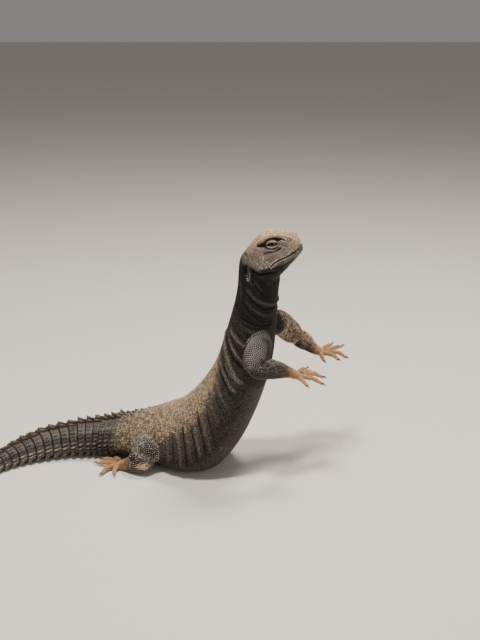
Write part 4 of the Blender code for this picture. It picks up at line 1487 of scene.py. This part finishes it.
def trunk_scales(tree, start, end, chance):
    """Rows of scales over a stretch of trunk, neck or head."""
    scales = bpy.context.scene.lizard_scales
    found = {"dome": [], "plate": []}
    spots = trunk_spots(start, end, scales)
    heights = fold_heights(np.array([tuple(spot[2]) for spot in spots]), fold_lines())
    for (at, angle, point, behind), fold in zip(spots, heights):
        pitch = trunk_pitch(at, angle, scales)
        lift = math.sin(angle)
        stray = (0.26 if at < 9 else 0.17) * pitch
        point = point + Vector([chance.uniform(-stray, stray) for _ in range(3)])
        kind, height = trunk_scale_form(at, lift, pitch)
        colour = dappled_with_glints(trunk_colour(at, angle, point, scales), at, angle, point, chance)
        # Painted shade in the grooves of the folds and painted highlights on their crests.
        colour = fold_shade_and_highlight(colour, fold, at)
        half = pitch * 0.5 * chance.uniform(0.9, 1.12)
        if at < 9 and -0.45 < lift < 0.75 and chance.random() < 0.02:
            half *= 1.5
            height *= 1.35
            colour = shaded(colour, 1.35)
        uv = bake_spot(0.02 + 0.56 * at / LAST_RING, angle)
        size = (half, half * 1.04, height)
        set_scale(found[kind], tree, point, behind, size, colour, uv, 5.5 * MM, chance)
    return found


def snout_spots():
    """Places over the rounded front of the snout."""
    here = section(LAST_RING)
    found = []
    for part, count in ((0.8, 15), (0.5, 10), (0.2, 4)):
        for k in range(count):
            angle = 2 * math.pi * (k + part) / count
            edge = on_section(here, angle)
            point = here[0].lerp(edge, part)
            found.append((LAST_RING - 0.02, angle % (2 * math.pi), point, edge - here[0]))
    return found


def dappled_with_glints(colour, at, angle, point, chance):
    """Single scales lighter or darker than their place, as on the real back and jowls, and painted
    highlights on crown and snout.
    """
    height = math.degrees(angle if angle < math.pi / 2 else math.pi - angle)
    value = speckle(point, 3.2 * MM)
    roll = chance.random()
    bright = smooth(-18, 6, height - along_line(DARK_EDGE, at))
    if at < 9:
        if value > 0.15 or roll < 0.12:
            colour = mix(colour, PALE_SPOT, 0.05 + 0.42 * bright)
        elif value < -0.2 or roll > 0.86:
            colour = mix(colour, DARK_SPOT, 0.6 * bright)
        if height < -24 and at < 5 and roll < 0.25:
            colour = mix(colour, BELLY_SPOT, 0.16)
    elif at > 12.6 and height > along_line(JAW_EDGE, at):
        jowl = smooth(22, 0, height) * smooth(16.5, 15, at)
        above = smooth(20, 40, height + 30 * smooth(17.5, 19.5, at))
        # Painted highlights: glints on the scales of the crown and snout.
        glint = smooth(0.14, 0.38, speckle(point, 3.8 * MM)) * above * smooth(14.5, 16, at)
        colour = mix(colour, CROWN_GLINT, 0.55 * glint)
        if roll < 0.1 + 0.25 * jowl:
            colour = mix(colour, JOWL_PALE, 0.12 + 0.4 * jowl)
        elif roll > 0.92 - 0.2 * jowl:
            colour = mix(colour, JOWL_DARK, 0.25 + 0.3 * jowl)
    return colour


class LIZARD_OT_body_scales(bpy.types.Operator):
    """Granular scales over trunk and neck, and flat ones on the belly"""
    bl_idname = "lizard.body_scales"
    bl_label = "Body scales"

    def execute(self, context):
        tree = tree_of(bpy.data.objects["skin"])
        chance = random.Random(11)
        found = trunk_scales(tree, 0.0, NECK_SCALES_START, chance)
        coat_pieces("body_granules", scale_shape("dome"), found["dome"], "scales")
        coat_pieces("belly_scales", scale_shape("plate"), found["plate"], "scales")
        found = trunk_scales(tree, NECK_SCALES_START, HEAD_SCALES_START, chance)
        coat_pieces("neck_granules", scale_shape("dome"), found["dome"], "throat_scales")
        return {"FINISHED"}


def lip_scales(tree, chance):
    """One row of shields over the mouth and one under it, from the snout to the corners."""
    found = []
    scales = bpy.context.scene.lizard_scales
    face = mix(tuple(scales.face_colour), tuple(scales.crown_colour), 0.4)
    for way in (1, -1):
        for lift, size in ((1.45, 1.0), (-1.5, 0.95)):
            line = dense_line([on_head(b, h + lift, way) for b, h in MOUTH_LINE])
            points = [Vector(p) for p in line]
            spots = line_spots(points, 2.1 * MM * size)
            for k, (point, along) in enumerate(spots):
                shield = (0.92 * MM * size, 0.9 * MM, 0.75 * MM)
                colour = mix(shaded(face, 0.6), LIP_PALE, chance.uniform(0.0, 0.85))
                uv = (0.5 + 0.03 * k / len(spots), 0.4 + 0.1 * way + 0.02 * lift)
                set_scale(found, tree, point, along, shield, colour, uv, 3 * MM, chance)
    return found


def brow_scales(tree, chance):
    """Rows of granules along the crest and the underside of each brow, the lower rows darkened with painted
    shadow under the brow.
    """
    found = []
    crown = tuple(bpy.context.scene.lizard_scales.crown_colour)
    size = (0.82 * MM, 0.8 * MM, 0.5 * MM)
    for way in (1, -1):
        # Each row: its place under the brow's line, and how much painted shadow darkens it.
        for lift, shade in ((0.9, 0.0), (-0.3, 0.1), (-1.3, 0.6), (-2.2, 0.85)):
            line = dense_line([on_head(b, h + lift, way) for b, h in BROW_LINE])
            spots = line_spots([Vector(p) for p in line], 1.5 * MM)
            for k, (point, along) in enumerate(spots):
                colour = mix(mix(crown, BROW_TAN, chance.random()), BROW_SHADE, shade)
                uv = (0.46 + 0.03 * k / len(spots), 0.3 + 0.1 * way + 0.01 * lift)
                set_scale(found, tree, point, -along, size, colour, uv, 3 * MM, chance)
    return found


def line_spots(points, pitch):
    """Evenly spaced places along an open line, with its direction there."""
    lengths = [0.0]
    for a, b in zip(points[:-1], points[1:]):
        lengths.append(lengths[-1] + (b - a).length)
    count = max(int(lengths[-1] / pitch), 1)
    spots = []
    j = 0
    for k in range(count):
        wanted = (k + 0.5) * lengths[-1] / count
        while lengths[j + 1] < wanted:
            j += 1
        part = (wanted - lengths[j]) / max(lengths[j + 1] - lengths[j], 1e-12)
        spots.append((points[j].lerp(points[j + 1], part), (points[j + 1] - points[j]).normalized()))
    return spots


def ear_fringe(tree, chance):
    """Pointed scales along the front edge of each ear, one of them large and pale."""
    found = []
    for way in (1, -1):
        for k in range(9):
            at = 11.62 + 0.1 * k
            degrees = 9 + 2.5 * math.sin(k * 2.1)
            angle = math.radians(degrees if way > 0 else 180 - degrees)
            behind = body_point(at, angle + way * 0.2) - body_point(at, angle)
            width = 0.82 * MM * (1.2 if k < 2 else 1.0)
            size = (width, width * 0.85, width * 0.95)
            colour = mix(FRINGE_DULL, FRINGE_PALE, 0.9 if k < 2 else chance.uniform(0, 0.3))
            uv = (0.32, 0.04 + 0.01 * k + (0.4 if way < 0 else 0))
            set_scale(found, tree, body_point(at, angle), behind, size, colour, uv, 4 * MM, chance)
    return found


class LIZARD_OT_head_scales(bpy.types.Operator):
    """Small plates on the crown, granules on cheeks and jowls, lip shields and ear fringe"""
    bl_idname = "lizard.head_scales"
    bl_label = "Head scales"

    def execute(self, context):
        tree = tree_of(bpy.data.objects["skin"])
        chance = random.Random(12)
        found = trunk_scales(tree, HEAD_SCALES_START, LAST_RING - 0.05, chance)
        coat_pieces("head_granules", scale_shape("dome"), found["dome"], "scales")
        coat_pieces("head_plates", scale_shape("plate"), found["plate"], "scales")
        coat_pieces("lip_shields", scale_shape("plate"), lip_scales(tree, chance), "scales")
        coat_pieces("brow_granules", scale_shape("dome"), brow_scales(tree, chance), "scales")
        coat_pieces("ear_fringe", scale_shape("cone"), ear_fringe(tree, chance), "scales")
        return {"FINISHED"}


def limb_bake_start(name):
    """Where a limb's band of the map for baking begins."""
    return 0.6 + 0.09 * list(LIMBS).index(name)


def limb_scale_form(kind, at, angle, pitch, chance):
    """Shape and size of a limb's scale: keeled on arms, domed on legs and feet, a few spines on legs."""
    half = pitch * 0.5
    form = "dome", (half * 0.86, half * 0.86, pitch * 0.38)
    if kind == "arm" and at < 5.6:
        form = "keeled", (half * 0.82, half * 0.8, pitch * 0.42)
    if kind == "leg" and at < 5 and chance.random() < 0.035 and math.sin(angle) > -0.3:
        form = "cone", (half * 1.25, half * 1.25, pitch * 0.5)
    return form


def limb_part_scales(tree, name, path, first, found, chance):
    """Scales over the upper or the lower part of a limb, whose length begins at first."""
    scales = bpy.context.scene.lizard_scales
    kind = name.split("_")[1]
    reach = (3.6 if kind == "leg" else 1.6) * MM
    member = limb(path)
    surface = limb_point(member, 0, *(LOWER_CAPS if first else UPPER_CAPS))

    def length_of(a, b):
        ways = [(surface(b, angle) - surface(a, angle)).length for angle in (0, math.pi / 2, math.pi)]
        return max(ways + [(limb_frame(member, b)[0] - limb_frame(member, a)[0]).length])

    def pitch_of(at):
        fine = scales.limb_pitch * (0.8 if kind == "arm" and first else 1.0)
        return fine + (scales.foot_pitch - fine) * smooth(4.6, 5.8, first + at)

    rows = rows_along(0.0, member["last"] - 0.001, length_of, lambda at: pitch_of(at) * 0.87)
    for number, place in enumerate(rows):
        at = first + place
        points = [surface(place, a) for a in angles_round(48)]
        pitch = pitch_of(place)
        along = limb_frame(member, place)[1]
        for point, angle in ring_spots(points, [pitch] * 48, 0.5 * (number % 2)):
            colour = limb_colour(name, at, angle, point, scales)
            roll = chance.random()
            if roll < 0.4 and (at > 2.5 or kind == "leg"):
                dots = 0.65 * (1 - smooth(4.9, 5.4, at)) * (1 - underside(at, angle))
                colour = mix(colour, LIMB_DOTS, dots)
            uv = bake_spot(limb_bake_start(name) + 0.08 * at / 8, angle)
            shape, size = limb_scale_form(kind, at, angle, pitch, chance)
            set_scale(found[shape], tree, point, along, size, colour, uv, reach, chance)


def digit_scales(tree, name, number, digit, chance):
    """Fine scales over one digit, wider along its top."""
    scales = bpy.context.scene.lizard_scales
    found = []
    member = digit_limb(digit)
    surface = limb_point(member)
    pitch = scales.foot_pitch
    for row in range(14):
        at = 0.15 + 1.8 * row / 13
        along = limb_frame(member, at)[1]
        uv = (limb_bake_start(name) + 0.082, 0.02 + 0.19 * number + 0.01 * row)
        for k in range(7):
            angle = math.radians(90 + (k - 3) * 48 + 24 * (row % 2))
            point = surface(at, angle)
            colour = limb_colour(name, 8, angle, point, scales)
            size = (pitch * 0.62, pitch * (0.62 if k in (2, 3, 4) else 0.5), pitch * 0.3)
            set_scale(found, tree, point, along, size, colour, uv, 1.3 * MM, chance)
    return found


def limb_scales(tree, name, chance):
    """Scales over one limb and its digits, by their shapes."""
    upper_path, lower_path, digits = LIMBS[name]
    found = {"keeled": [], "dome": [], "cone": []}
    limb_part_scales(tree, name, upper_path, 0.0, found, chance)
    limb_part_scales(tree, name, lower_path, 3.0, found, chance)
    for number, digit in enumerate(digits):
        found["dome"] += digit_scales(tree, name, number, digit, chance)
    return found


class LIZARD_OT_limb_scales(bpy.types.Operator):
    """Keeled scales on the arms, granules and spines on the legs, fine scales on the feet"""
    bl_idname = "lizard.limb_scales"
    bl_label = "Limb scales"

    def execute(self, context):
        tree = tree_of(bpy.data.objects["skin"])
        chance = random.Random(13)
        found = {"keeled": [], "dome": [], "cone": []}
        for name in LIMBS:
            for kind, some in limb_scales(tree, name, chance).items():
                found[kind] += some
        coat_pieces("limb_granules", scale_shape("dome"), found["dome"], "scales")
        coat_pieces("arm_keels", scale_shape("keeled"), found["keeled"], "keeled_scales")
        coat_pieces("leg_spines", scale_shape("cone"), found["cone"], "scales")
        return {"FINISHED"}


# Each whorl from its front to its rear edge: part of its length, and size against the tail's.
WHORL_PROFILE = [(0.0, 0.885), (0.05, 0.93), (0.14, 0.955), (0.32, 0.968), (0.55, 0.985), (0.76, 1.005),
                 (0.9, 1.025), (0.965, 1.02), (0.99, 0.95)]


def whorl_count(middle):
    """Scales round a whorl; there are fewer towards the tip."""
    count = bpy.context.scene.lizard_tail.whorl_scales
    return round(count * (1 - 0.45 * middle))


def low_side(angle):
    """1 low on the tail's sides, where its scales are blocky and spiny, and 0 on top and below."""
    lift = math.sin(angle)
    return smooth(0.42, 0.0, lift) * smooth(-0.95, -0.6, lift)


def unroll(mesh, spots):
    """Lays the whorls out flat for baking, from each vertex's spot; faces on the seam run past it."""
    layer = mesh.uv_layers.new(name="OFBake")
    for face in mesh.polygons:
        across = [spots[mesh.loops[c].vertex_index][1] for c in face.loop_indices]
        for corner, v in zip(face.loop_indices, across):
            u = spots[mesh.loops[corner].vertex_index][0]
            layer.data[corner].uv = (u, v + 0.98 if max(across) - v > 0.5 else v)


def make_tail_bands():
    """The whorls as one stepped tube, each scale parted from the next by a shallow groove."""
    tail = bpy.context.scene.lizard_tail
    places = whorl_places(tail.whorls)
    rows = []
    for i in range(tail.whorls):
        length = places[i + 1] - places[i]
        rows += [(places[i] + length * part, size, i, part) for part, size in WHORL_PROFILE]
    rows.append((1.0, 0.6, tail.whorls - 1, 1.0))
    chance = random.Random(14)
    swell = {(i, k): chance.uniform(-1, 1) for i in range(tail.whorls) for k in range(60)}

    def ridge(i, angle):
        middle = (places[i] + places[i + 1]) / 2
        phase = angle / (2 * math.pi) * whorl_count(middle) + 0.5 * (i % 2)
        return math.cos(2 * math.pi * phase), swell[i, int(round(phase)) % whorl_count(middle)]

    def point(row, angle):
        along, size, i, part = row
        wave, vary = ridge(i, angle)
        side = low_side(angle)
        rise = smooth(0, 0.2, part) * (1 - smooth(0.97, 1.0, part))
        size += (0.012 + 0.05 * side) * rise * (0.5 * wave - 0.5) + 0.006 * vary * rise
        size += (1 - size) * (1 - smooth(0.0, 0.05, along)) * 0.85
        shift = (0.004 + 0.02 * side) * (0.5 * wave - 0.5) * smooth(0.6, 0.95, part)
        shift *= (places[i + 1] - places[i]) * 6
        return tail_point(along + shift, angle, size, -0.1 * MM)

    obj = to_object("tail_whorls", tube(rows, TAIL_SIDES, point))
    mesh = obj.data
    colours, spots = [], []
    tree = kdtree.KDTree(len(rows) * TAIL_SIDES)
    grid = []
    for row in rows:
        for angle in angles_round(TAIL_SIDES):
            tree.insert(point(row, angle), len(grid))
            grid.append((row, angle))
    tree.balance()
    for vert in mesh.vertices:
        (along, size, i, part), angle = grid[tree.find(vert.co)[1]]
        wave, vary = ridge(i, angle)
        side = low_side(angle)
        colour = tail_colour(along, angle, tail)
        # Painted shade in the grooves between the whorls and between the scales of a whorl.
        gap = max(smooth(0.09, 0.0, part), smooth(0.975, 0.99, part)) * smooth(0.0, 0.03, along)
        seam = smooth(-0.6, -1.0, wave) * (0.25 + 0.75 * side)
        colour = mix(colour, WHORL_GAP_SHADE, max(gap * 0.95, seam * 0.75))
        # Paler tips of the low scales, partly painted highlights.
        tip = side * smooth(0.4, 0.9, part) * smooth(0.2, 1, wave) * (1 - gap)
        colour = mix(colour, WHORL_TIP_PALE_AND_HIGHLIGHT, (0.14 + 0.34 * smooth(0.1, 0.45, along)) * tip)
        colour = shaded(colour, 1 + 0.1 * vary)
        colours.append(colour)
        spots.append(tail_bake_spot(along, angle))
    paint(mesh, np.array(colours))
    rest_on_floor(mesh, FLOOR_MARGIN)
    unroll(mesh, spots)
    finish_piece(obj, [], get_material("tail_scales"))


def spine_height(angle, middle, chance):
    """Fins along the top, small knobs on the upper sides, thick spines low on the sides."""
    lift = math.sin(angle)
    top = smooth(0.965, 0.99, lift)
    upper = smooth(0.3, 0.42, lift) * (0.2 if chance.random() < 0.7 else 0.42)
    size = max(top * 1.35, upper, low_side(angle) * 0.85)
    return size * bpy.context.scene.lizard_tail.spine * (1 - 0.35 * middle) * chance.uniform(0.85, 1.12)


def scale_turn(rear, out):
    """The turn of a scale whose tip points to the rear, and its exact outward direction."""
    across = out.cross(rear).normalized()
    out = rear.cross(across)
    return Matrix((rear, across, out)).transposed().to_quaternion(), out


def make_tail_spines(chance):
    tail = bpy.context.scene.lizard_tail
    places = whorl_places(tail.whorls)
    found = {"cone": [], "fin": []}
    for i in range(tail.whorls):
        length = places[i + 1] - places[i]
        middle = (places[i] + places[i + 1]) / 2
        around = whorl_count(middle)
        for k in range(around):
            angle = 2 * math.pi * (k + 0.5 * (i % 2)) / around
            height = spine_height(angle, middle, chance)
            if height < 0.1 * MM:
                continue
            top = smooth(0.965, 0.99, math.sin(angle))
            width = (tail_point(middle, angle + math.pi / around, 1.0)
                     - tail_point(middle, angle - math.pi / around, 1.0)).length
            seat = places[i] + length * (0.66 - 0.14 * top)
            point = tail_point(seat, angle, 0.985)
            rear = (tail_point(seat + 0.01, angle, 0.985) - point).normalized()
            out = (tail_point(seat, angle, 1.05) - tail_point(seat, angle, 0.95)).normalized()
            turn, out = scale_turn(rear, out)
            if point.z + out.z * height < LOWEST_SPINE_TIP:
                continue
            knob = smooth(2.2 * MM, 0.6 * MM, height)
            half = length * TAIL_LENGTH * (0.34 + 0.16 * top - 0.16 * knob)
            colour = tail_colour(middle, angle, tail)
            # Paler low spines, partly painted highlights.
            pale = (0.12 + 0.3 * smooth(0.1, 0.45, middle)) * low_side(angle) * chance.uniform(0.2, 1)
            colour = mix(colour, SPINE_PALE_AND_HIGHLIGHT, pale)
            tint = chance.uniform(0.85, 1.15)
            size = (half, width * (0.42 - 0.06 * top - 0.1 * knob), height / 2.1)
            found["fin" if top > 0.5 else "cone"].append({
                "at": point, "turn": turn, "size": size, "colour": shaded(colour, tint),
                "uv": tail_bake_spot(middle, angle)})
    return found


def root_granules(tree, chance):
    """Rows of granules that carry the skin of the hips over the first whorls."""
    scales = bpy.context.scene.lizard_scales
    tail = bpy.context.scene.lizard_tail
    found = []
    for number in range(4):
        along = 0.001 + 0.0065 * number
        count = 84 - number
        for k in range(count):
            if chance.random() < 0.2 * number:
                continue
            angle = 2 * math.pi * (k + 0.5 * (number % 2)) / count
            point = tail_point(along, angle, 1.0)
            behind = tail_point(along + 0.01, angle, 1.0) - point
            colour = trunk_colour(0, angle, point, scales)
            colour = mix(colour, tail_colour(along, angle, tail), number / 5)
            colour = dappled_with_glints(colour, 0, angle, point, chance)
            half = scales.trunk_pitch * 0.52
            size = (half, half, half * 0.85)
            uv = tail_bake_spot(along, angle)
            set_scale(found, tree, point, behind, size, colour, uv, 3 * MM, chance)
    return found


def hip_fins(chance):
    """Low fins that carry the tail's crest on over the hips, smaller towards the front."""
    found = []
    for number in range(4):
        at = 0.12 + 0.26 * number
        for k in range(2 + number % 2):
            angle = math.radians(90 + 11 * (k - 0.5 - 0.5 * (number % 2)))
            point = body_point(at, angle, -0.2 * MM)
            rear = (body_point(max(at - 0.1, 0), angle) - body_point(at + 0.1, angle)).normalized()
            out = (body_point(at, angle, 2 * MM) - body_point(at, angle)).normalized()
            turn = scale_turn(rear, out)[0]
            size = (1 - 0.17 * number) * chance.uniform(0.85, 1.1)
            colour = tuple(c * chance.uniform(0.7, 1.1) for c in HIP_GREY)
            found.append({
                "at": point, "turn": turn, "size": (3.9 * MM * size, 1.9 * MM * size, 1.7 * MM * size),
                "colour": colour, "uv": (0.95 + 0.01 * number, 0.2 + 0.1 * k)})
    return found


class LIZARD_OT_tail_whorls(bpy.types.Operator):
    """Whorls of smooth scales with fins on top and thick spines low on the sides"""
    bl_idname = "lizard.tail_whorls"
    bl_label = "Tail whorls"

    def execute(self, context):
        chance = random.Random(15)
        make_tail_bands()
        found = make_tail_spines(chance)
        coat_pieces("tail_spines", scale_shape("cone"), found["cone"], "tail_scales")
        coat_pieces("tail_fins", scale_shape("fin"), found["fin"] + hip_fins(chance), "tail_scales")
        tree = tree_of(bpy.data.objects["tail_whorls"])
        coat_pieces("tail_root_granules", scale_shape("dome"), root_granules(tree, chance), "scales")
        return {"FINISHED"}


# Eyes, lids and claws.

def lid_opening(turn, grow=1.0):
    """The edge of the lids' lens-shaped opening, in millimetres along and up from the eye."""
    height = LID_ABOVE if math.sin(turn) > 0 else LID_BELOW
    rise = math.copysign(abs(math.sin(turn)) ** 1.1, math.sin(turn))
    return LID_HALF_LENGTH * math.cos(turn) * grow, rise * height * grow


def eye_frame(way):
    """Centre of an eye, and the directions along its opening, upwards and outwards."""
    ahead, left, up = head_axes()
    centre = in_head(EYE_BEHIND_SNOUT, way * EYE_TO_MIDDLE, EYE_HEIGHT)
    out = (left * way + ahead * 0.12).normalized()
    along = (ahead * math.cos(LID_TILT) + up * math.sin(LID_TILT))
    along = (along - out * along.dot(out)).normalized()
    upward = out.cross(along)
    if upward.dot(up) < 0:
        upward = -upward
    return centre, along, upward, out


def make_eyeball(side, way):
    """An eyeball whose front bulges a little, with its distance from the middle of the iris."""
    radius = bpy.context.scene.lizard_body.eye_radius
    centre, along, upward, out = eye_frame(way)
    shape = bmesh.new()
    bmesh.ops.create_uvsphere(shape, u_segments=40, v_segments=24, radius=radius)
    turn = Matrix((along, upward, out)).transposed()
    for vert in shape.verts:
        bulge = 1.0 + 0.05 * smooth(0.75, 1.0, vert.co.z / radius)
        vert.co = centre + turn @ (vert.co * bulge)
    bmesh.ops.recalc_face_normals(shape, faces=shape.faces)
    eye = to_object(f"eyeball_{side}", shape)
    offset = vertex_array(eye.data) - np.array(centre)
    outwards = offset @ np.array(out)
    radial = np.linalg.norm(offset - outwards[:, None] * np.array(out), axis=1) / radius
    radial[outwards < 0] = 1.0
    layer = eye.data.attributes.new("ring", "FLOAT", "POINT")
    layer.data.foreach_set("value", radial)
    finish_piece(eye, [f"eye_{side}"], get_material("wet_eye"))


def lid_surface(way):
    """The lids' surface: each row gives its size against the opening and its reach from the eye."""
    centre, along, upward, out = eye_frame(way)

    def point(row, angle):
        grow, radius = row
        x, y = lid_opening(angle, grow)
        if grow > 1:
            part = grow - 1
            x = (LID_HALF_LENGTH + 0.4 * part) * math.cos(angle)
            y = y / grow * (1 + 0.58 * part) + 0.4 * math.sin(angle) * part
        depth = math.sqrt(max(radius ** 2 - 0.72 * x * x - y * y, 0.0))
        return centre + (along * x + upward * y + out * depth) * MM
    return point


def lid_tones():
    """The pale edge and the dull rim of the lids."""
    scales = bpy.context.scene.lizard_scales
    return mix(tuple(scales.crown_colour), LID_PALE, 0.6), shaded(scales.face_colour, 0.6)


def make_lids(side, way):
    """The lids of one eye as a ring, pale at the opening and dull at the rim."""
    centre, along, upward = eye_frame(way)[:3]
    rows = [(0.97, 4.95), (0.985, 5.4), (1.0, 5.85), (1.1, 6.15), (1.28, 6.25), (1.5, 6.15), (1.7, 6.2),
            (1.95, 6.6), (2.15, 6.3), (1.8, 5.4), (1.3, 5.05)]
    lids = to_object(f"lids_{side}", tube(rows, 56, lid_surface(way), joined=True))
    pale, dull = lid_tones()
    colours = []
    for vert in lids.data.vertices:
        gap = vert.co - centre
        reach = math.hypot(gap.dot(along) / 6.2, gap.dot(upward) / 4.3) / MM
        low = 0.12 * smooth(0.3, -0.3, gap.dot(upward) / MM)
        colours.append(mix(pale, dull, smooth(0.8 - low, 1.0 - low, reach)))
    paint(lids.data, 0.8 * np.array(colours))
    finish_piece(lids, [], get_material("lid_skin"))
    return lids


def lid_scales(lids, way):
    """Rings of granules over the lids, larger and duller towards their rim."""
    centre, _, _, out = eye_frame(way)
    surface = lid_surface(way)
    pale, dull = lid_tones()
    found = []
    chance = random.Random(21)
    tree = tree_of(lids)
    for grow, radius, count, size in ((1.12, 6.15, 34, 0.26), (1.26, 6.22, 32, 0.34), (1.42, 6.25, 30, 0.42),
                                      (1.6, 6.25, 29, 0.5), (1.8, 6.4, 29, 0.56), (2.02, 6.7, 28, 0.62)):
        for k in range(count):
            angle = 2 * math.pi * (k + chance.uniform(-0.2, 0.2)) / count
            point = surface((grow, radius), angle)
            behind = point - centre - out * (point - centre).dot(out)
            lower = 0.3 * (math.sin(angle) < 0) * (grow > 1.4)
            shade = chance.uniform(0, 0.3) + 0.3 * (grow > 1.6) + 0.4 * (grow > 1.9) + lower
            colour = mix(pale, dull, min(shade, 1.0))
            form = (size * MM, size * 1.05 * MM, size * 0.55 * MM)
            uv = (0.44, 0.3 + 0.25 * way + 0.001 * k)
            set_scale(found, tree, point, behind, form, colour, uv, 1.5 * MM, chance)
    return found


class LIZARD_OT_eyes(bpy.types.Operator):
    """Eyeballs with thick granular lids round a lens-shaped opening"""
    bl_idname = "lizard.eyes"
    bl_label = "Eyes and lids"

    def execute(self, context):
        granules = []
        for side, way in (("left", 1), ("right", -1)):
            make_eyeball(side, way)
            granules += lid_scales(make_lids(side, way), way)
        coat_pieces("lid_granules", scale_shape("dome"), granules, "scales")
        return {"FINISHED"}


def claw_surface(digit, length):
    """A claw at the tip of a digit: bent down towards its point, and narrower than tall."""
    centre, along, _, _, _, thick = limb_frame(digit_limb(digit), 2.0)
    start = centre - along * 0.6 * MM
    flat = Vector((along.x, along.y, 0)).normalized()
    sideways = flat.cross(UP)

    def point(at, angle):
        radius = thick * 0.8 * (1 - at) ** 0.8 + 0.14 * MM
        middle = start.lerp(start - UP * 1.2 * MM, at * at) + flat * length * at
        middle += UP * 1.1 * MM * math.sin(math.pi * at)
        return middle + sideways * math.cos(angle) * radius * 0.72 + UP * math.sin(angle) * radius
    return point


class LIZARD_OT_claws(bpy.types.Operator):
    """Curved horn claws at the tips of the digits"""
    bl_idname = "lizard.claws"
    bl_label = "Claws"

    def execute(self, context):
        length = context.scene.lizard_body.claw_length
        for name, (_, _, digits) in LIMBS.items():
            side, kind = name.split("_")
            end = NODE_WORDS[kind][2]
            for number, digit in enumerate(digits, 1):
                shape = tube(steps(0, 1, 14), 16, claw_surface(digit, length))
                claw = to_object(f"{side}_{end}_horn_{number}", shape)
                finish_piece(claw, [f"{side}_{end}_claw_{number}"], get_material("claw_horn"))
        return {"FINISHED"}


# Stage.

def area_light(name, place, size, power, colour):
    light = bpy.data.lights.new(name, "AREA")
    light.shape = "DISK"
    light.size = size
    light.energy = power
    light.color = colour
    obj = bpy.data.objects.new(name, light)
    obj.location = place
    obj.rotation_euler = (Vector(LIGHT_TARGET) - Vector(place)).to_track_quat("-Z", "Y").to_euler()
    bpy.context.scene.collection.objects.link(obj)


class LIZARD_OT_stage(bpy.types.Operator):
    """Pale floor, soft light and the camera"""
    bl_idname = "lizard.stage"
    bl_label = "Stage"

    def execute(self, context):
        stage = context.scene.lizard_stage
        shape = bmesh.new()
        bmesh.ops.create_grid(shape, x_segments=2, y_segments=2, size=stage.floor_size / 2)
        floor = to_object("floor", shape, rounded=False)
        floor.data.materials.append(get_material("pale_floor"))
        for name, place, size, part, colour in LIGHTS:
            area_light(name, place, size, stage.light * part, colour)
        world = bpy.data.worlds.new("studio")
        world.use_nodes = True
        world.node_tree.nodes["Background"].inputs["Color"].default_value = (0.9, 0.88, 0.85, 1)
        world.node_tree.nodes["Background"].inputs["Strength"].default_value = 0.26
        context.scene.world = world
        camera_data = bpy.data.cameras.new("camera")
        camera_data.sensor_width = 36
        camera_data.lens = CAMERA_LENS
        camera = bpy.data.objects.new("camera", camera_data)
        camera.location = CAMERA_PLACE
        camera.rotation_euler = (CAMERA_TILT, 0, 0)
        context.scene.collection.objects.link(camera)
        context.scene.camera = camera
        return {"FINISHED"}


class LIZARD_PT_panel(bpy.types.Panel):
    """The pieces of the lizard, in the order they are made"""
    bl_idname = "LIZARD_PT_panel"
    bl_label = "Lizard"
    bl_space_type = "VIEW_3D"
    bl_region_type = "UI"
    bl_category = "Lizard"

    def draw(self, context):
        layout = self.layout
        for group in PROPERTY_GROUPS:
            values = getattr(context.scene, group)
            for name in values.__annotations__:
                layout.prop(values, name)
        for operator in OPERATORS:
            layout.operator(operator.bl_idname)


PROPERTY_GROUPS = {
    "lizard_body": LizardBody,
    "lizard_scales": LizardScales,
    "lizard_tail": LizardTail,
    "lizard_stage": LizardStage,
}
OPERATORS = (
    LIZARD_OT_stage,
    LIZARD_OT_skin,
    LIZARD_OT_eyes,
    LIZARD_OT_head_scales,
    LIZARD_OT_body_scales,
    LIZARD_OT_limb_scales,
    LIZARD_OT_tail_whorls,
    LIZARD_OT_claws,
)


def register():
    for name, group in PROPERTY_GROUPS.items():
        bpy.utils.register_class(group)
        setattr(bpy.types.Scene, name, PointerProperty(type=group))
    for operator in OPERATORS:
        bpy.utils.register_class(operator)
    bpy.utils.register_class(LIZARD_PT_panel)


def unregister():
    bpy.utils.unregister_class(LIZARD_PT_panel)
    for operator in reversed(OPERATORS):
        bpy.utils.unregister_class(operator)
    for name, group in PROPERTY_GROUPS.items():
        delattr(bpy.types.Scene, name)
        bpy.utils.unregister_class(group)


def clear_shapes():
    """Removes the loose scale shapes once every coat piece is made."""
    for obj in list(bpy.data.objects):
        if obj.name.startswith("shape_"):
            bpy.data.objects.remove(obj)


def main():
    register()
    bpy.ops.lizard.stage()
    bpy.ops.lizard.skin()
    bpy.ops.lizard.eyes()
    bpy.ops.lizard.head_scales()
    bpy.ops.lizard.body_scales()
    bpy.ops.lizard.limb_scales()
    bpy.ops.lizard.tail_whorls()
    bpy.ops.lizard.claws()
    clear_shapes()


if __name__ == "__main__":
    main()
